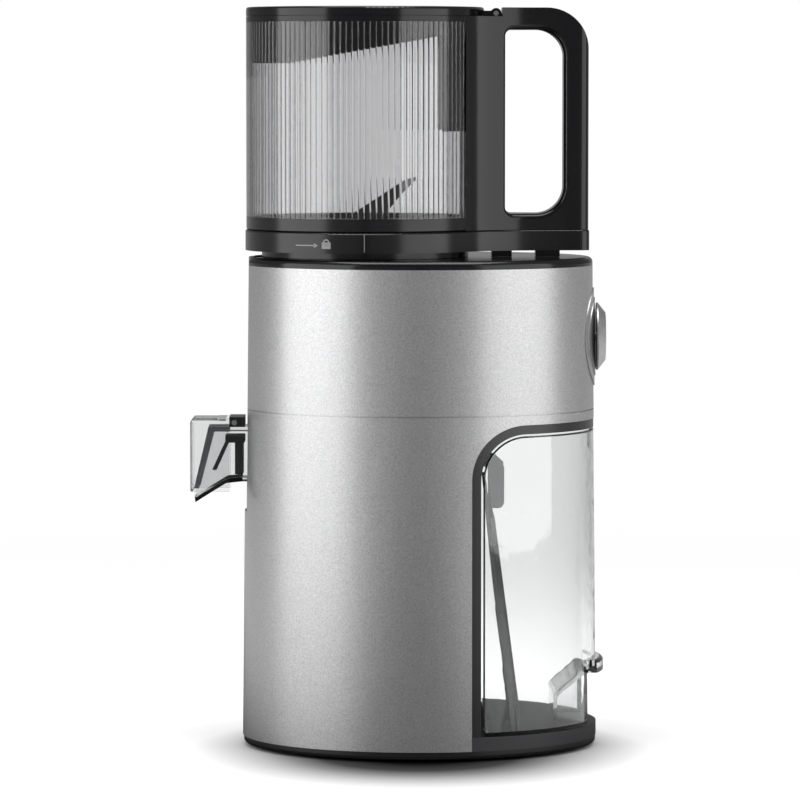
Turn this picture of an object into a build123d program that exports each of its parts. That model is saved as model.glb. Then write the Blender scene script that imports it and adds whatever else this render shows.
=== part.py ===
from build123d import *
from math import acos, atan2, cos, degrees, hypot, pi, radians, sin, tan
import os

# Upright cold press juicer, in millimetres. +Z is up and heights start at the table.
# The spout faces -X; the handle, the selector and the pulp bin face +X.
# X is written from the middle of the oval body. Finished pieces are moved along X so
# that the origin is the middle of the whole footprint.

# ---------------------------------------------------------------- body column
BODY_LENGTH = 221.8      # front to back at the table
BODY_WIDTH = 184.0       # side to side at the table
BODY_DRAFT = 0.0103      # each side draws in by this much per mm of height
HALF_BODY = BODY_LENGTH / 2
WALL = 2.4               # moulded shells
FOOT_HEIGHT = 1.5
BASE_THICK = 4.9
BASE_INSET = 0.7
BASE_ROUND = 2.4
LOWER_HEIGHT = 204.6
UPPER_HEIGHT = 89.3
DECK_THICK = 5.2
DECK_ROUND = 3.4
NECK_GAP = 4.2           # open slit between the deck and the collar
COLLAR_HEIGHT = 12.9
RING_HEIGHT = 8.2
WINDOW_HEIGHT = 120.2
TOP_RING_HEIGHT = 3.8
LID_THICK = 5.5
SEAM_GROOVE = 0.4
FIT = 0.3                # between pieces that come apart
SNUG = 0.05              # between pieces that are assembled for good

BASE_TOP = FOOT_HEIGHT + BASE_THICK
SEAM_Z = BASE_TOP + LOWER_HEIGHT
SHELL_TOP = SEAM_Z + UPPER_HEIGHT
DECK_TOP = SHELL_TOP + DECK_THICK
COLLAR_BOTTOM = DECK_TOP + NECK_GAP
COLLAR_TOP = COLLAR_BOTTOM + COLLAR_HEIGHT
WINDOW_BOTTOM = COLLAR_TOP + RING_HEIGHT
WINDOW_TOP = WINDOW_BOTTOM + WINDOW_HEIGHT
LID_BOTTOM = WINDOW_TOP + TOP_RING_HEIGHT
LID_TOP = LID_BOTTOM + LID_THICK

# ---------------------------------------------------------------- base and feet
FOOT_RADIUS = 11.0
FOOT_SEAT = 2.0
FOOT_INSET = 24.0        # foot centre in from the edge of the oval
VENT_COUNT = 9
VENT_PITCH = 7.0
VENT_WIDTH = 3.0
VENT_LENGTH = 44.0
LIP_HEIGHT = 6.0         # upstand that locates the lower shell
LIP_THICK = 2.0
SCREW_RADIUS = 1.6
SCREW_HEAD_RADIUS = 3.2
SCREW_HEAD_THICK = 2.0
SCREW_LENGTH = 14.0
BOSS_RADIUS = 4.2
BOSS_HEIGHT = 26.0
BOSS_ANGLES = (110, 145, 215, 250)

# ---------------------------------------------------------------- pulp bay and bin
BAY_SETBACK = 1.7        # front edge of the bay behind the wall of the chamber well
BAY_ROOF_BAND = 6.0      # shell left between the bay and the seam
BAY_CORNER = 33.0
LINER_RIM = 5.6          # width of the dark strip round the bay
LINER_RIM_DEPTH = 7.0
BAY_FLOOR_THICK = 8.6
BIN_GAP = 2.2            # air between the strip and the bin
BIN_WALL = 2.2
BIN_ROUND = 5.0          # along the foot of the tub
BIN_SLANT_THICK = 2.8
BIN_SLANT_LEAN = 17.0    # how much further back the slanted wall is at its foot
BIN_SLANT_IN = 3.0       # top of the slanted wall behind the bin's front edge
SCOOP_DEPTH = 26.0       # finger scoop in from the back, at its floor
SCOOP_ROOF = 47.5
SCOOP_SHOULDER = 33.0
SCOOP_ROOF_DEPTH = 9.0
SCOOP_HALF_WIDTH = 30.0
SCOOP_ROUND = 4.0
GRIP_LIP = 8.0           # height of the lip over the scoop
GRIP_REACH = 4.6         # how far the lip stands out behind the bin
CHUTE_HALF_WIDTH = 18.0
CHUTE_RAMP = 8.0         # fall of the ramp out of the outlet
CHUTE_RISE = 5.0
CHUTE_ROUND = 4.0
CHUTE_WALL = 2.0
CHUTE_DEPTH = 9.4
CHUTE_DROP = 34.1        # foot of the chute below the chamber's floor
CHUTE_LIP = 3.1          # top of the hanging part below the chamber's floor

AXIS_SETBACK = 76.9      # chamber axis behind the front of the body
AXIS_X = AXIS_SETBACK - HALF_BODY    # common axis of the chamber, auger and motor
WELL_RADIUS = 61.5
WELL_WALL = 2.4
BAY_FRONT = AXIS_X + WELL_RADIUS + WELL_WALL + BAY_SETBACK
BAY_ROOF = SEAM_Z - BAY_ROOF_BAND
BAY_FLOOR_TOP = BASE_TOP + BAY_FLOOR_THICK
BIN_FRONT = BAY_FRONT + LINER_RIM + BIN_GAP
BIN_BOTTOM = BAY_FLOOR_TOP + FIT
BIN_TOP = BAY_ROOF - LINER_RIM - BIN_GAP

# ---------------------------------------------------------------- juicing chamber
WELL_SINK = 29.0         # well floor below the bay's roof
WELL_FLOOR = 4.0
WELL_FLANGE = 6.0
WELL_FLANGE_THICK = 3.0
DRUM_CLEARANCE = 2.0
DRUM_WALL = 2.5
DRUM_FOOT = 4.0
DRUM_FLOOR = 3.5
DRUM_FOOT_RADIUS = 44.0
NECK_SEAT = 2.9          # neck stands on the deck this far round the well
COLLAR_PROUD = 0.6       # collar outside the hopper and the handle
COLLAR_WALL = 2.6
COLLAR_ROUND = 1.0
TAIL_FOOT_HALF_WIDTH = 12.0
FOOT_PLACES = ((60.1, 47.6), (32.8, 17.8))     # of the tail's feet, in from its back
SLOT_HALF_WIDTH = 16.5   # slot down the front of the body
SLOT_DROP = 64.0         # end of the slot below the seam
PANEL_THICK = 2.6
PANEL_RECESS = 1.2
PANEL_WEBS = 3
RAIL_HALF_WIDTH = 10.0
RAIL_THICK = 2.0
STRAINER_RADIUS = 46.0
STRAINER_WALL = 1.6
STRAINER_HEIGHT = 70.0
STRAINER_SLOTS = 36
STRAINER_SLOT_WIDTH = 1.6
STRAINER_SLOT_HEIGHT = 46.0
HUB_RADIUS = 12.5        # upstand round the drive shaft in the chamber floor
HUB_BORE = 9.6
HUB_HEIGHT = 12.0
OUTLET_HALF_WIDTH = 14.0
OUTLET_HEIGHT = 14.0

WELL_FLOOR_TOP = BAY_ROOF - WELL_SINK
WELL_BOTTOM = WELL_FLOOR_TOP - WELL_FLOOR
NECK_RADIUS = WELL_RADIUS + NECK_SEAT
DRUM_RADIUS = WELL_RADIUS - DRUM_CLEARANCE
DRUM_BORE = DRUM_RADIUS - DRUM_WALL
DRUM_BOTTOM = WELL_FLOOR_TOP + DRUM_FOOT
DRUM_FLOOR_TOP = DRUM_BOTTOM + DRUM_FLOOR
SLOT_BOTTOM = SEAM_Z - SLOT_DROP
CHUTE_BOTTOM = DRUM_FLOOR_TOP - CHUTE_DROP

# ---------------------------------------------------------------- auger
AUGER_RADIUS = 43.0
AUGER_CORE_FOOT = 27.0
AUGER_CORE_TOP = 20.0
AUGER_SCREW_HEIGHT = 74.0
AUGER_SHORT = 4.6        # top of the neck below the collar's top
AUGER_TURNS = 1.25
FLIGHT_THICK = 8.0
AUGER_NECK_TOP = 14.0
AUGER_CLEAR = 2.5        # foot of the screw above the chamber's floor
SOCKET_RADIUS = 10.5     # metal sleeve round the hexagon
SOCKET_WALL = 5.0
WING_THICK = 7.0
WING_RISE = 32.6         # cutting wing above the collar top
WING_REACH = 31.5        # tip of the wing out from the axis
WING_FRONT = 12.0
WING_HEEL = 12.4
WING_BROW = 7.0          # straight upper edge ends this far short of the tip
WING_TIP_THICK = 2.2

AUGER_BOTTOM = DRUM_FLOOR_TOP + AUGER_CLEAR
AUGER_SCREW_TOP = AUGER_BOTTOM + AUGER_SCREW_HEIGHT
AUGER_TOP = COLLAR_TOP - AUGER_SHORT

# ---------------------------------------------------------------- hopper and lid
HOPPER_RADIUS = 74.0
CUP_WALL = 2.2
RIB_COUNT = 124
RIB_DEPTH = 0.8
SLEEVE_WALL = 1.3
SPIGOT_INSET = 8.0       # spigot inside the hopper's wall
SPIGOT_WALL = 4.0
THROAT_STEP = 2.0        # throat narrower than the spigot's bore
SPIGOT_DEPTH = 6.6
LUG_REACH = 2.4
LUG_HEIGHT = 2.5
LUG_COUNT = 3
LUG_ARC = 28.0
GUARD_WALL = 1.5
GUARD_FRONT_DROP = 29.2  # guard's lower edge below the lid, at the front
GUARD_REAR_DROP = 12.3
GUARD_FLAT = 50.0        # level part of the edge ends ahead of the axis
GUARD_FLAP_DROP = 71.0   # flap at the back, below the lid
GUARD_FLAP_HALF_ANGLE = 49.0
HINGE_BACK = 81.2        # lid pin behind the chamber axis
PIN_RADIUS = 1.6
KNUCKLE_RADIUS = 3.3
KNUCKLE_HALF_WIDTH = 10.0
EAR_THICK = 5.5
SEAL_WIDTH = 1.6
LID_ROUND = 1.6
LID_RIM = 6.5            # raised rim round the dished top
LID_DISH = 2.0
LID_SKIRT = 5.0

SPIGOT_RADIUS = HOPPER_RADIUS - SPIGOT_INSET
THROAT_RADIUS = SPIGOT_RADIUS - SPIGOT_WALL - THROAT_STEP

# ---------------------------------------------------------------- handle
HANDLE_SETBACK = 6.1         # back of the grip ahead of the back of the body
HANDLE_GRIP_WIDTH = 29.0
HANDLE_ROOT_ANGLE = 34.0
HANDLE_FLARE_END = 14.0      # the flared sides end this far ahead of the grip's back
HANDLE_HEAD_ROUND = 26.0
HANDLE_PANEL = 12.8          # hopper wall to the opening
HANDLE_GRIP_DEPTH = 15.7
HANDLE_OPEN_BOTTOM = 9.9     # above the collar
HANDLE_OPEN_TOP = 14.0       # below the lid top
HANDLE_REAR_SHARE = 0.47     # corner rounds of the opening, as shares of its depth
HANDLE_FRONT_SHARE = 0.11
HANDLE_BEVEL = 3.2           # round along the edges of the opening
HANDLE_BACK_ROUND = 6.0      # upright corners of the grip's back

HANDLE_BACK = HALF_BODY - HANDLE_SETBACK
HANDLE_OPEN_FRONT = AXIS_X + HOPPER_RADIUS + HANDLE_PANEL

# ---------------------------------------------------------------- spout and cap
SPOUT_HALF_WIDTH = 13.0
SPOUT_WALL = 2.0
SPOUT_ROOF = 2.8
BAND_WIDTH = 3.4             # grey band round the mouth, seen from the side
TROUGH_THICK = 2.8
SPOUT_BEND = 11.0            # where the underside starts to fall, behind the mouth
INSERT_DROP = 2.8            # flow guide below the roof
INSERT_BAR = 4.3
INSERT_REACH = 12.0
INSERT_POST = 5.0
INSERT_LENGTH = 24.0
LEVER_THICK = 2.8
LEVER_LEAN = 8.2
SPOUT_TOP_DROP = 11.4        # spout roof below the seam
SPOUT_REACH = 20.7           # upper corner of the slanted mouth ahead of the body
SPOUT_TIP_REACH = 29.9
SPOUT_MOUTH_HEIGHT = 39.0
SPOUT_LIP_DROP = 8.0
SPOUT_BELLY = 34.0           # spout roof down to its underside at the body
CAP_PROUD = 31.9             # front of the cap ahead of the body
CAP_HALF_WIDTH = 15.6
CAP_WALL = 1.5
CAP_HEIGHT = 45.5
CAP_PIN_PROUD = 4.4
CAP_PIN_DROP = 2.5           # pin below the cap's top
CAP_DROP = 6.0               # cap's top below the seam

SPOUT_FRONT = -HALF_BODY - SPOUT_REACH
SPOUT_TIP = -HALF_BODY - SPOUT_TIP_REACH
CAP_REACH = HALF_BODY + CAP_PROUD
CAP_PIN_X = -HALF_BODY - CAP_PIN_PROUD
CAP_TOP = SEAM_Z - CAP_DROP
CAP_BOTTOM = CAP_TOP - CAP_HEIGHT
CAP_PIN_Z = CAP_TOP - CAP_PIN_DROP
SPOUT_TOP = SEAM_Z - SPOUT_TOP_DROP

# ---------------------------------------------------------------- selector
KNOB_DROP = 44.7             # knob centre below the top of the shell
KNOB_RADIUS = 21.0
KNOB_RIDGE_RADIUS = 15.0
KNOB_PROUD = 7.6             # rim of the knob behind the shell
KNOB_DISH = 2.4
KNOB_BASE = 1.0              # straight rim under the sloped flanks
BEZEL_RADIUS = 30.5
BEZEL_STEP_RADIUS = 24.5
BEZEL_PROUD = 0.7
BEZEL_STEP_PROUD = 1.3
BEZEL_THICK = 9.0
SWITCH_SIZE = 30.0
SWITCH_DEPTH = 18.0
SPINDLE_RADIUS = 3.0
SPINDLE_DEPTH = 4.0          # spindle into the switch
TAB_LENGTH = 6.0             # terminal tabs
TAB_WIDTH = 4.8
TAB_THICK = 0.8
BOARD_THICK = 1.6
BOARD_WIDTH = 60.0
BOARD_HEIGHT = 52.0
BOARD_SPACE = 4.0            # switch tabs to the board
BOARD_FOOT = 8.0
CAPACITOR_LENGTH = 22.0

KNOB_Z = SHELL_TOP - KNOB_DROP
KNOB_TIP = HALF_BODY - BODY_DRAFT * KNOB_Z + KNOB_PROUD

# ---------------------------------------------------------------- gear train
MODULE = 1.5
PINION_TEETH = 12
WHEEL_TEETH = 36
PRESSURE_ANGLE = 20.0
BACKLASH = 0.24
ADDENDUM = 0.9               # in modules
DEDENDUM = 1.2
GEAR_WIDTH = 10.0
OUTPUT_GEAR_WIDTH = 14.0
GEAR_SPACE = 3.0
CASE_WALL = 3.0
CASE_FLOOR = 4.0
COVER_THICK = 4.0
COVER_BOSS = 12.0
SPACER = 6.0                 # well floor above the gearbox cover's boss
AXLE_RADIUS = 4.0
AXLE_SEAT = 1.0              # axle starts this far up in the case's floor
COVER_PAD = 1.0              # raised pad under each cover screw
SHAFT_CLEAR = 1.0            # hole round a turning shaft
GEAR_CLEAR = 2.0             # gears to the case
DRIVE_RADIUS = 8.0
HEX_FLATS = 13.0
HEX_LENGTH = 52.0
HEX_CHAMFER = 1.5
SHAFT_SHOULDER = 2.0         # round part of the shaft above the well floor
BEARING_WALL = 6.0
BEARING_HEIGHT = 5.0

CENTRE_DISTANCE = MODULE * (PINION_TEETH + WHEEL_TEETH) / 2
WHEEL_TIP = MODULE * (WHEEL_TEETH / 2 + ADDENDUM)
CASE_RADIUS = WHEEL_TIP + GEAR_CLEAR + CASE_WALL
COVER_TOP = WELL_BOTTOM - SPACER
COVER_BOTTOM = COVER_TOP - COVER_BOSS - COVER_THICK
OUTPUT_GEAR_TOP = COVER_BOTTOM - GEAR_CLEAR
OUTPUT_GEAR_BOTTOM = OUTPUT_GEAR_TOP - OUTPUT_GEAR_WIDTH
INPUT_GEAR_TOP = OUTPUT_GEAR_BOTTOM - GEAR_SPACE
INPUT_GEAR_BOTTOM = INPUT_GEAR_TOP - GEAR_WIDTH
CASE_BOTTOM = INPUT_GEAR_BOTTOM - GEAR_CLEAR - CASE_FLOOR

# ---------------------------------------------------------------- motor
CAN_RADIUS = 39.0
CAN_WALL = 2.0
MOTOR_STAND = 22.6           # end cap above the base plate
END_CAP_THICK = 10.0
MAGNET_THICK = 8.0
MAGNET_ARC = 140.0
AIR_GAP = 0.8
CORE_SHORTER = 36.0          # laminated core shorter than the can
CORE_DROP = 16.0
COMMUTATOR_GAP = 2.0         # winding to the bars
FAN_GAP = 1.5                # fan to the end cap
FAN_BLADE = 1.4
WINDING_INSET = 3.0
MAGNET_LONGER = 6.0          # magnets longer than the core
CORE_SLOTS = 10
CORE_SLOT_WIDTH = 4.0
CORE_SLOT_DEPTH = 11.0
WINDING_HEIGHT = 5.0
COMMUTATOR_RADIUS = 11.0
COMMUTATOR_HEIGHT = 11.0
MOTOR_SHAFT_RADIUS = 4.0
MOTOR_BEARING_RADIUS = 11.0
MOTOR_BEARING_HEIGHT = 7.0
BRUSH_WIDTH = 7.0
BRUSH_HEIGHT = 6.0
BRUSH_BOX = 1.5              # wall of the brass box
BRUSH_CLEAR = 4.0            # box to the can
AIR_HOLES = 6                # round the end cap
AIR_HOLE_RADIUS = 7.0
FAN_RADIUS = 24.0
FAN_HEIGHT = 6.0
FAN_BLADES = 9
CUSHION_HEIGHT = 3.0
TOWER_RADIUS = 33.0
TOWER_WALL = 3.0

CAN_TOP = CASE_BOTTOM
END_CAP_BOTTOM = BASE_TOP + MOTOR_STAND
CAN_BOTTOM = END_CAP_BOTTOM + END_CAP_THICK
CORE_HEIGHT = CAN_TOP - CAN_BOTTOM - CORE_SHORTER
MAGNET_HEIGHT = CORE_HEIGHT + MAGNET_LONGER
MAGNET_INNER = CAN_RADIUS - CAN_WALL - MAGNET_THICK
CORE_RADIUS = MAGNET_INNER - AIR_GAP
CORE_TOP = CAN_TOP - CORE_DROP
CORE_BOTTOM = CORE_TOP - CORE_HEIGHT
COMMUTATOR_TOP = CORE_BOTTOM - WINDING_HEIGHT - COMMUTATOR_GAP
COMMUTATOR_BOTTOM = COMMUTATOR_TOP - COMMUTATOR_HEIGHT
FAN_TOP = END_CAP_BOTTOM - FAN_GAP

# ---------------------------------------------------------------- cord gland
GLAND_ANGLE = 118.0
GLAND_Z = 24.0
GLAND_RADIUS = 8.0
GLAND_BORE = 4.0
GLAND_DEPTH = 14.0
GLAND_PROUD = 1.5

# Moves the middle of the overall length to the origin.
SHIFT_X = (CAP_REACH - KNOB_TIP) / 2
FAR = 900.0


# ---------------------------------------------------------------- shape helpers
def half_length(z, inset=0.0):
    return BODY_LENGTH / 2 - BODY_DRAFT * z - inset


def half_width(z, inset=0.0):
    return BODY_WIDTH / 2 - BODY_DRAFT * z - inset


def oval(z, inset=0.0):
    return Pos(0, 0, z) * Ellipse(half_length(z, inset), half_width(z, inset))


def column(z0, z1, inset=0.0):
    """The body's tapering oval between two heights."""
    return loft([oval(z0, inset), oval(z1, inset)], ruled=True)


def block(x0, x1, y0, y1, z0, z1):
    return Pos((x0 + x1) / 2, (y0 + y1) / 2, (z0 + z1) / 2) * Box(x1 - x0, y1 - y0, z1 - z0)


def slab(x0, x1, half, z0, z1):
    """A block that is centred on the plane of symmetry."""
    return block(x0, x1, -half, half, z0, z1)


def post(x, y, z0, z1, radius):
    return Pos(x, y, (z0 + z1) / 2) * Cylinder(radius, z1 - z0)


def drum(z0, z1, radius):
    """A cylinder on the chamber axis."""
    return post(AXIS_X, 0, z0, z1, radius)


def tube(z0, z1, outer, inner):
    return drum(z0, z1, outer) - drum(z0 - 1, z1 + 1, inner)


def cone(z0, z1, radius0, radius1):
    return Pos(AXIS_X, 0, (z0 + z1) / 2) * Cone(radius0, radius1, z1 - z0)


def rod_y(x, z, y0, y1, radius):
    return Pos(x, (y0 + y1) / 2, z) * Rot(90, 0, 0) * Cylinder(radius, y1 - y0)


def rod_x(y, z, x0, x1, radius):
    return Pos((x0 + x1) / 2, y, z) * Rot(0, 90, 0) * Cylinder(radius, x1 - x0)


def side_plate(points, half, round_radius=0.0):
    """An outline in X and Z, as thick in Y as twice half, with rounded corners."""
    face = make_face(Polyline(*points, close=True))
    if round_radius:
        face = fillet(face.vertices(), round_radius)
    return extrude(Plane.XZ.offset(-half) * face, 2 * half)


def around(angle, shape):
    """Turn a shape about the chamber axis."""
    return Pos(AXIS_X, 0, 0) * Rot(0, 0, angle) * Pos(-AXIS_X, 0, 0) * shape


def sector(angle, z0, z1, radius):
    """A wedge of a cylinder on the chamber axis, centred on +X."""
    half = radians(angle / 2)
    reach = radius / cos(half)
    tips = [(AXIS_X, 0), (AXIS_X + reach * cos(half), -reach * sin(half)),
            (AXIS_X + reach * cos(half), reach * sin(half))]
    wedge = extrude(Pos(0, 0, z0) * make_face(Polyline(*tips, close=True)), z1 - z0)
    return wedge & drum(z0, z1, radius)


def edge_point(angle, inset, z):
    """A place in from the edge of the oval, in the direction of angle."""
    a, b = half_length(z, inset), half_width(z, inset)
    return a * cos(radians(angle)), b * sin(radians(angle))


def bay_prism(offset):
    """The pulp bay: all that lies behind its front wall and under its roof."""
    raw = block(BAY_FRONT + offset, FAR, -FAR, FAR, -FAR, BAY_ROOF - offset)
    corner = raw.edges().filter_by(Axis.Y).group_by(Axis.Z)[-1].sort_by(Axis.X)[0]
    return fillet(corner, BAY_CORNER - offset)


def front_slot(extra=0.0):
    return slab(-FAR, AXIS_X, SLOT_HALF_WIDTH + extra, SLOT_BOTTOM - extra, FAR)


# ---------------------------------------------------------------- base and shells
def foot_places():
    return [edge_point(a, FOOT_INSET, 0) for a in (38, 142, 218, 322)]


def boss_places():
    return [edge_point(a, WALL + BOSS_RADIUS + LIP_THICK + 2, BASE_TOP) for a in BOSS_ANGLES]


def rubber_feet():
    top = FOOT_HEIGHT + FOOT_SEAT
    feet = [post(x, y, 0, top, FOOT_RADIUS) for x, y in foot_places()]
    return [chamfer(f.edges().group_by(Axis.Z)[0], FOOT_HEIGHT / 3) for f in feet]


def base_plate():
    plate = column(FOOT_HEIGHT, BASE_TOP, BASE_INSET)
    plate = fillet(plate.edges().group_by(Axis.Z)[0], BASE_ROUND)
    lip = column(BASE_TOP, BASE_TOP + LIP_HEIGHT, WALL + FIT)
    lip -= column(BASE_TOP - 1, BASE_TOP + LIP_HEIGHT + 1, WALL + FIT + LIP_THICK)
    plate += lip - block(BAY_FRONT - FIT, FAR, -FAR, FAR, -FAR, FAR)
    tower_top = END_CAP_BOTTOM - CUSHION_HEIGHT
    plate += tube(BASE_TOP, tower_top, TOWER_RADIUS, TOWER_RADIUS - TOWER_WALL)
    for x, y in foot_places():
        plate -= post(x, y, 0, FOOT_HEIGHT + FOOT_SEAT, FOOT_RADIUS)
    for i in range(VENT_COUNT):
        x = AXIS_X + (i - (VENT_COUNT - 1) / 2) * VENT_PITCH
        plate -= block(x - VENT_WIDTH / 2, x + VENT_WIDTH / 2, -VENT_LENGTH / 2,
                       VENT_LENGTH / 2, 0, BASE_TOP)
    for x, y in boss_places():
        plate -= post(x, y, 0, FAR, SCREW_RADIUS + SNUG)
        plate -= post(x, y, 0, FOOT_HEIGHT + SCREW_HEAD_THICK, SCREW_HEAD_RADIUS + SNUG)
    return plate


def groove():
    low, high = SEAM_Z - SEAM_GROOVE, SEAM_Z + SEAM_GROOVE
    return column(low, high, -1) - column(low - 1, high + 1, 2 * SEAM_GROOVE)


def hollow_column(z0, z1):
    return column(z0, z1) - column(z0 - 1, z1 + 1, WALL)


def gland_hole():
    x, y = edge_point(GLAND_ANGLE, 0, GLAND_Z)
    return rod_y(x, GLAND_Z, y - GLAND_DEPTH, y + WALL, GLAND_RADIUS)


def lower_shell():
    shell = hollow_column(BASE_TOP, SEAM_Z) - bay_prism(0) - front_slot() - groove()
    for x, y in boss_places():
        rim = BASE_TOP + FIT
        boss = post(x, y, rim, BASE_TOP + BOSS_HEIGHT, BOSS_RADIUS)
        web_x, web_y = edge_point(degrees(atan2(y, x)), WALL / 2, BASE_TOP)
        boss += extrude(Pos((x + web_x) / 2, (y + web_y) / 2, rim + LIP_HEIGHT)
                        * Rot(0, 0, degrees(atan2(web_y - y, web_x - x)))
                        * Rectangle(hypot(web_x - x, web_y - y), WALL),
                        BOSS_HEIGHT - LIP_HEIGHT - FIT)
        shell += boss - post(x, y, 0, BASE_TOP + BOSS_HEIGHT - WALL, SCREW_RADIUS + SNUG)
    return shell - gland_hole()


def knob_hole(extra):
    return rod_x(0, KNOB_Z, 0, FAR, BEZEL_STEP_RADIUS + extra)


def upper_shell():
    return hollow_column(SEAM_Z, SHELL_TOP) - front_slot() - groove() - knob_hole(0)


def top_deck():
    deck = column(SHELL_TOP, DECK_TOP)
    deck = fillet(deck.edges().group_by(Axis.Z)[-1], DECK_ROUND)
    lip = column(SHELL_TOP - LIP_HEIGHT, SHELL_TOP, WALL + FIT)
    lip -= column(SHELL_TOP - LIP_HEIGHT - 1, SHELL_TOP + 1, WALL + FIT + LIP_THICK)
    return deck + lip - (drum(0, FAR, WELL_RADIUS) + front_slot())


def chamber_well():
    """Cup that the juicing chamber stands in, open in front for the spout."""
    outer = WELL_RADIUS + WELL_WALL
    well = drum(WELL_BOTTOM, SHELL_TOP, outer)
    flange = tube(SHELL_TOP - WELL_FLANGE_THICK, SHELL_TOP, outer + WELL_FLANGE, WELL_RADIUS)
    well += flange & column(WELL_BOTTOM, SHELL_TOP, WALL + LIP_THICK + 2 * FIT)
    well -= drum(WELL_FLOOR_TOP, FAR, WELL_RADIUS)
    well -= slab(-FAR, AXIS_X, SLOT_HALF_WIDTH, WELL_FLOOR_TOP, FAR)
    well -= slab(AXIS_X, FAR, OUTLET_HALF_WIDTH + CHUTE_WALL, DRUM_FLOOR_TOP - CHUTE_WALL,
                 DRUM_FLOOR_TOP + OUTLET_HEIGHT + CHUTE_WALL)
    bore = DRIVE_RADIUS + BEARING_WALL
    well += tube(COVER_TOP, WELL_BOTTOM, bore + BEARING_WALL, bore)
    return well - drum(COVER_TOP - 1, FAR, bore)


def shaft_seal():
    ring = tube(WELL_BOTTOM, WELL_FLOOR_TOP + 1, DRIVE_RADIUS + BEARING_WALL - SNUG,
                DRIVE_RADIUS + SNUG)
    return chamfer(ring.edges().group_by(Axis.Z)[-1], 0.6)


# ---------------------------------------------------------------- pulp bay
def liner_window():
    return slab(0, BAY_FRONT + BAY_CORNER, CHUTE_HALF_WIDTH + FIT,
                DRUM_FLOOR_TOP - CHUTE_WALL - CHUTE_RAMP - FIT,
                DRUM_FLOOR_TOP + OUTLET_HEIGHT + CHUTE_WALL)


def bay_liner():
    """Thin wall of the bay with a wide strip round its open edges."""
    inside = column(BAY_FLOOR_TOP, BAY_ROOF, FIT)
    wall = (bay_prism(SNUG) - bay_prism(WALL)) & inside
    rim = (bay_prism(SNUG) - bay_prism(LINER_RIM)) & (
        inside - column(0, FAR, LINER_RIM_DEPTH))
    liner = wall + rim - block(-FAR, FAR, -FAR, FAR, -FAR, BAY_FLOOR_TOP)
    return liner - liner_window()


def bay_floor():
    floor = column(BASE_TOP, BAY_FLOOR_TOP, FIT)
    floor &= block(BAY_FRONT + SNUG, FAR, -FAR, FAR, 0, FAR)
    return chamfer(floor.edges().group_by(Axis.Z)[-1].sort_by(SortBy.LENGTH)[-1], 0.8)


def pulp_chute():
    """Open channel that drops the pulp from the chamber's outlet into the bin."""
    near = AXIS_X + WELL_RADIUS + WELL_WALL + FIT
    tab_front = BIN_FRONT + BIN_SLANT_IN + 2 * FIT
    tab_back = tab_front + CHUTE_DEPTH
    top = DRUM_FLOOR_TOP - CHUTE_LIP
    sill = DRUM_FLOOR_TOP - CHUTE_WALL
    ramp_end = (tab_front, sill - CHUTE_RAMP)
    cheek = side_plate([(near, top + CHUTE_RISE), (near, sill), ramp_end,
                        (tab_front, CHUTE_BOTTOM), (tab_back, CHUTE_BOTTOM),
                        (tab_back, top - CHUTE_RISE), (tab_back - CHUTE_RISE, top),
                        (near + CHUTE_RISE, top + CHUTE_RISE)], CHUTE_HALF_WIDTH)
    foot = cheek.edges().filter_by(Axis.Y).group_by(Axis.Z)[0].sort_by(Axis.X)
    cheek = fillet(foot[-1], CHUTE_ROUND)
    hollow = side_plate([(near - 1, FAR), (near - 1, sill + CHUTE_WALL),
                         (near, sill + CHUTE_WALL),
                         (ramp_end[0] + CHUTE_WALL, ramp_end[1] + CHUTE_WALL),
                         (tab_front + CHUTE_WALL, 0), (FAR, 0), (FAR, FAR)],
                        CHUTE_HALF_WIDTH - CHUTE_WALL)
    return cheek - hollow


def bin_side(inset):
    """The bin's oval outline, cut off by the front of the bay."""
    return column(BIN_BOTTOM, BIN_TOP, inset) & bay_prism(LINER_RIM + BIN_GAP)


def scoop(grow):
    """Finger scoop under the grip lip, seen from the side, widened by grow."""
    back = half_length(BIN_BOTTOM)
    floor_x, roof_x = back - SCOOP_DEPTH - grow, back - SCOOP_ROOF_DEPTH - grow
    outline = [(floor_x, -FAR), (back + FAR, -FAR), (back + FAR, SCOOP_ROOF + grow),
               (roof_x, SCOOP_ROOF + grow), (floor_x, SCOOP_SHOULDER + grow)]
    return side_plate(outline, SCOOP_HALF_WIDTH + grow, SCOOP_ROUND)


def slant_plate(reach):
    """The bin's slanted front wall, as wide each way as reach."""
    top_x, top = BIN_FRONT + BIN_SLANT_IN, CHUTE_BOTTOM - 2 * FIT
    foot_x = top_x + BIN_SLANT_LEAN
    return side_plate([(top_x, top), (top_x + BIN_SLANT_THICK, top),
                       (foot_x + BIN_SLANT_THICK, BIN_BOTTOM + BIN_WALL),
                       (foot_x, BIN_BOTTOM + BIN_WALL)], reach)


def bin_inside(z0):
    return column(z0, FAR, FIT + BIN_WALL)


def pulp_bin():
    """Clear tub with a finger scoop and a grip lip behind."""
    tub = bin_side(FIT)
    low = tub.edges().group_by(Axis.Z)[0].sort_by(SortBy.LENGTH)[-1]
    tub = fillet(low, BIN_ROUND)
    tub -= bin_inside(BIN_BOTTOM + BIN_WALL)
    tub += scoop(BIN_WALL) & bin_side(FIT)
    back = half_length(BIN_BOTTOM)
    low, high = SCOOP_ROOF - GRIP_REACH / 2, SCOOP_ROOF + GRIP_LIP
    lip = column(low, high, -GRIP_REACH) & slab(back - GRIP_LIP, FAR, SCOOP_HALF_WIDTH - BIN_WALL,
                                                low, high)
    rounds = [e for e in lip.edges().group_by(Axis.Z)[0] + lip.edges().group_by(Axis.Z)[-1]
              if e.center().X > back]
    lip = fillet(rounds, GRIP_REACH / 2)
    tub += lip - bin_inside(0)
    return tub - scoop(0)


def bin_front():
    """Slanted wall that closes the tub towards the motor."""
    return slant_plate(FAR) & bin_inside(0) & bay_prism(LINER_RIM + BIN_GAP)


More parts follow.
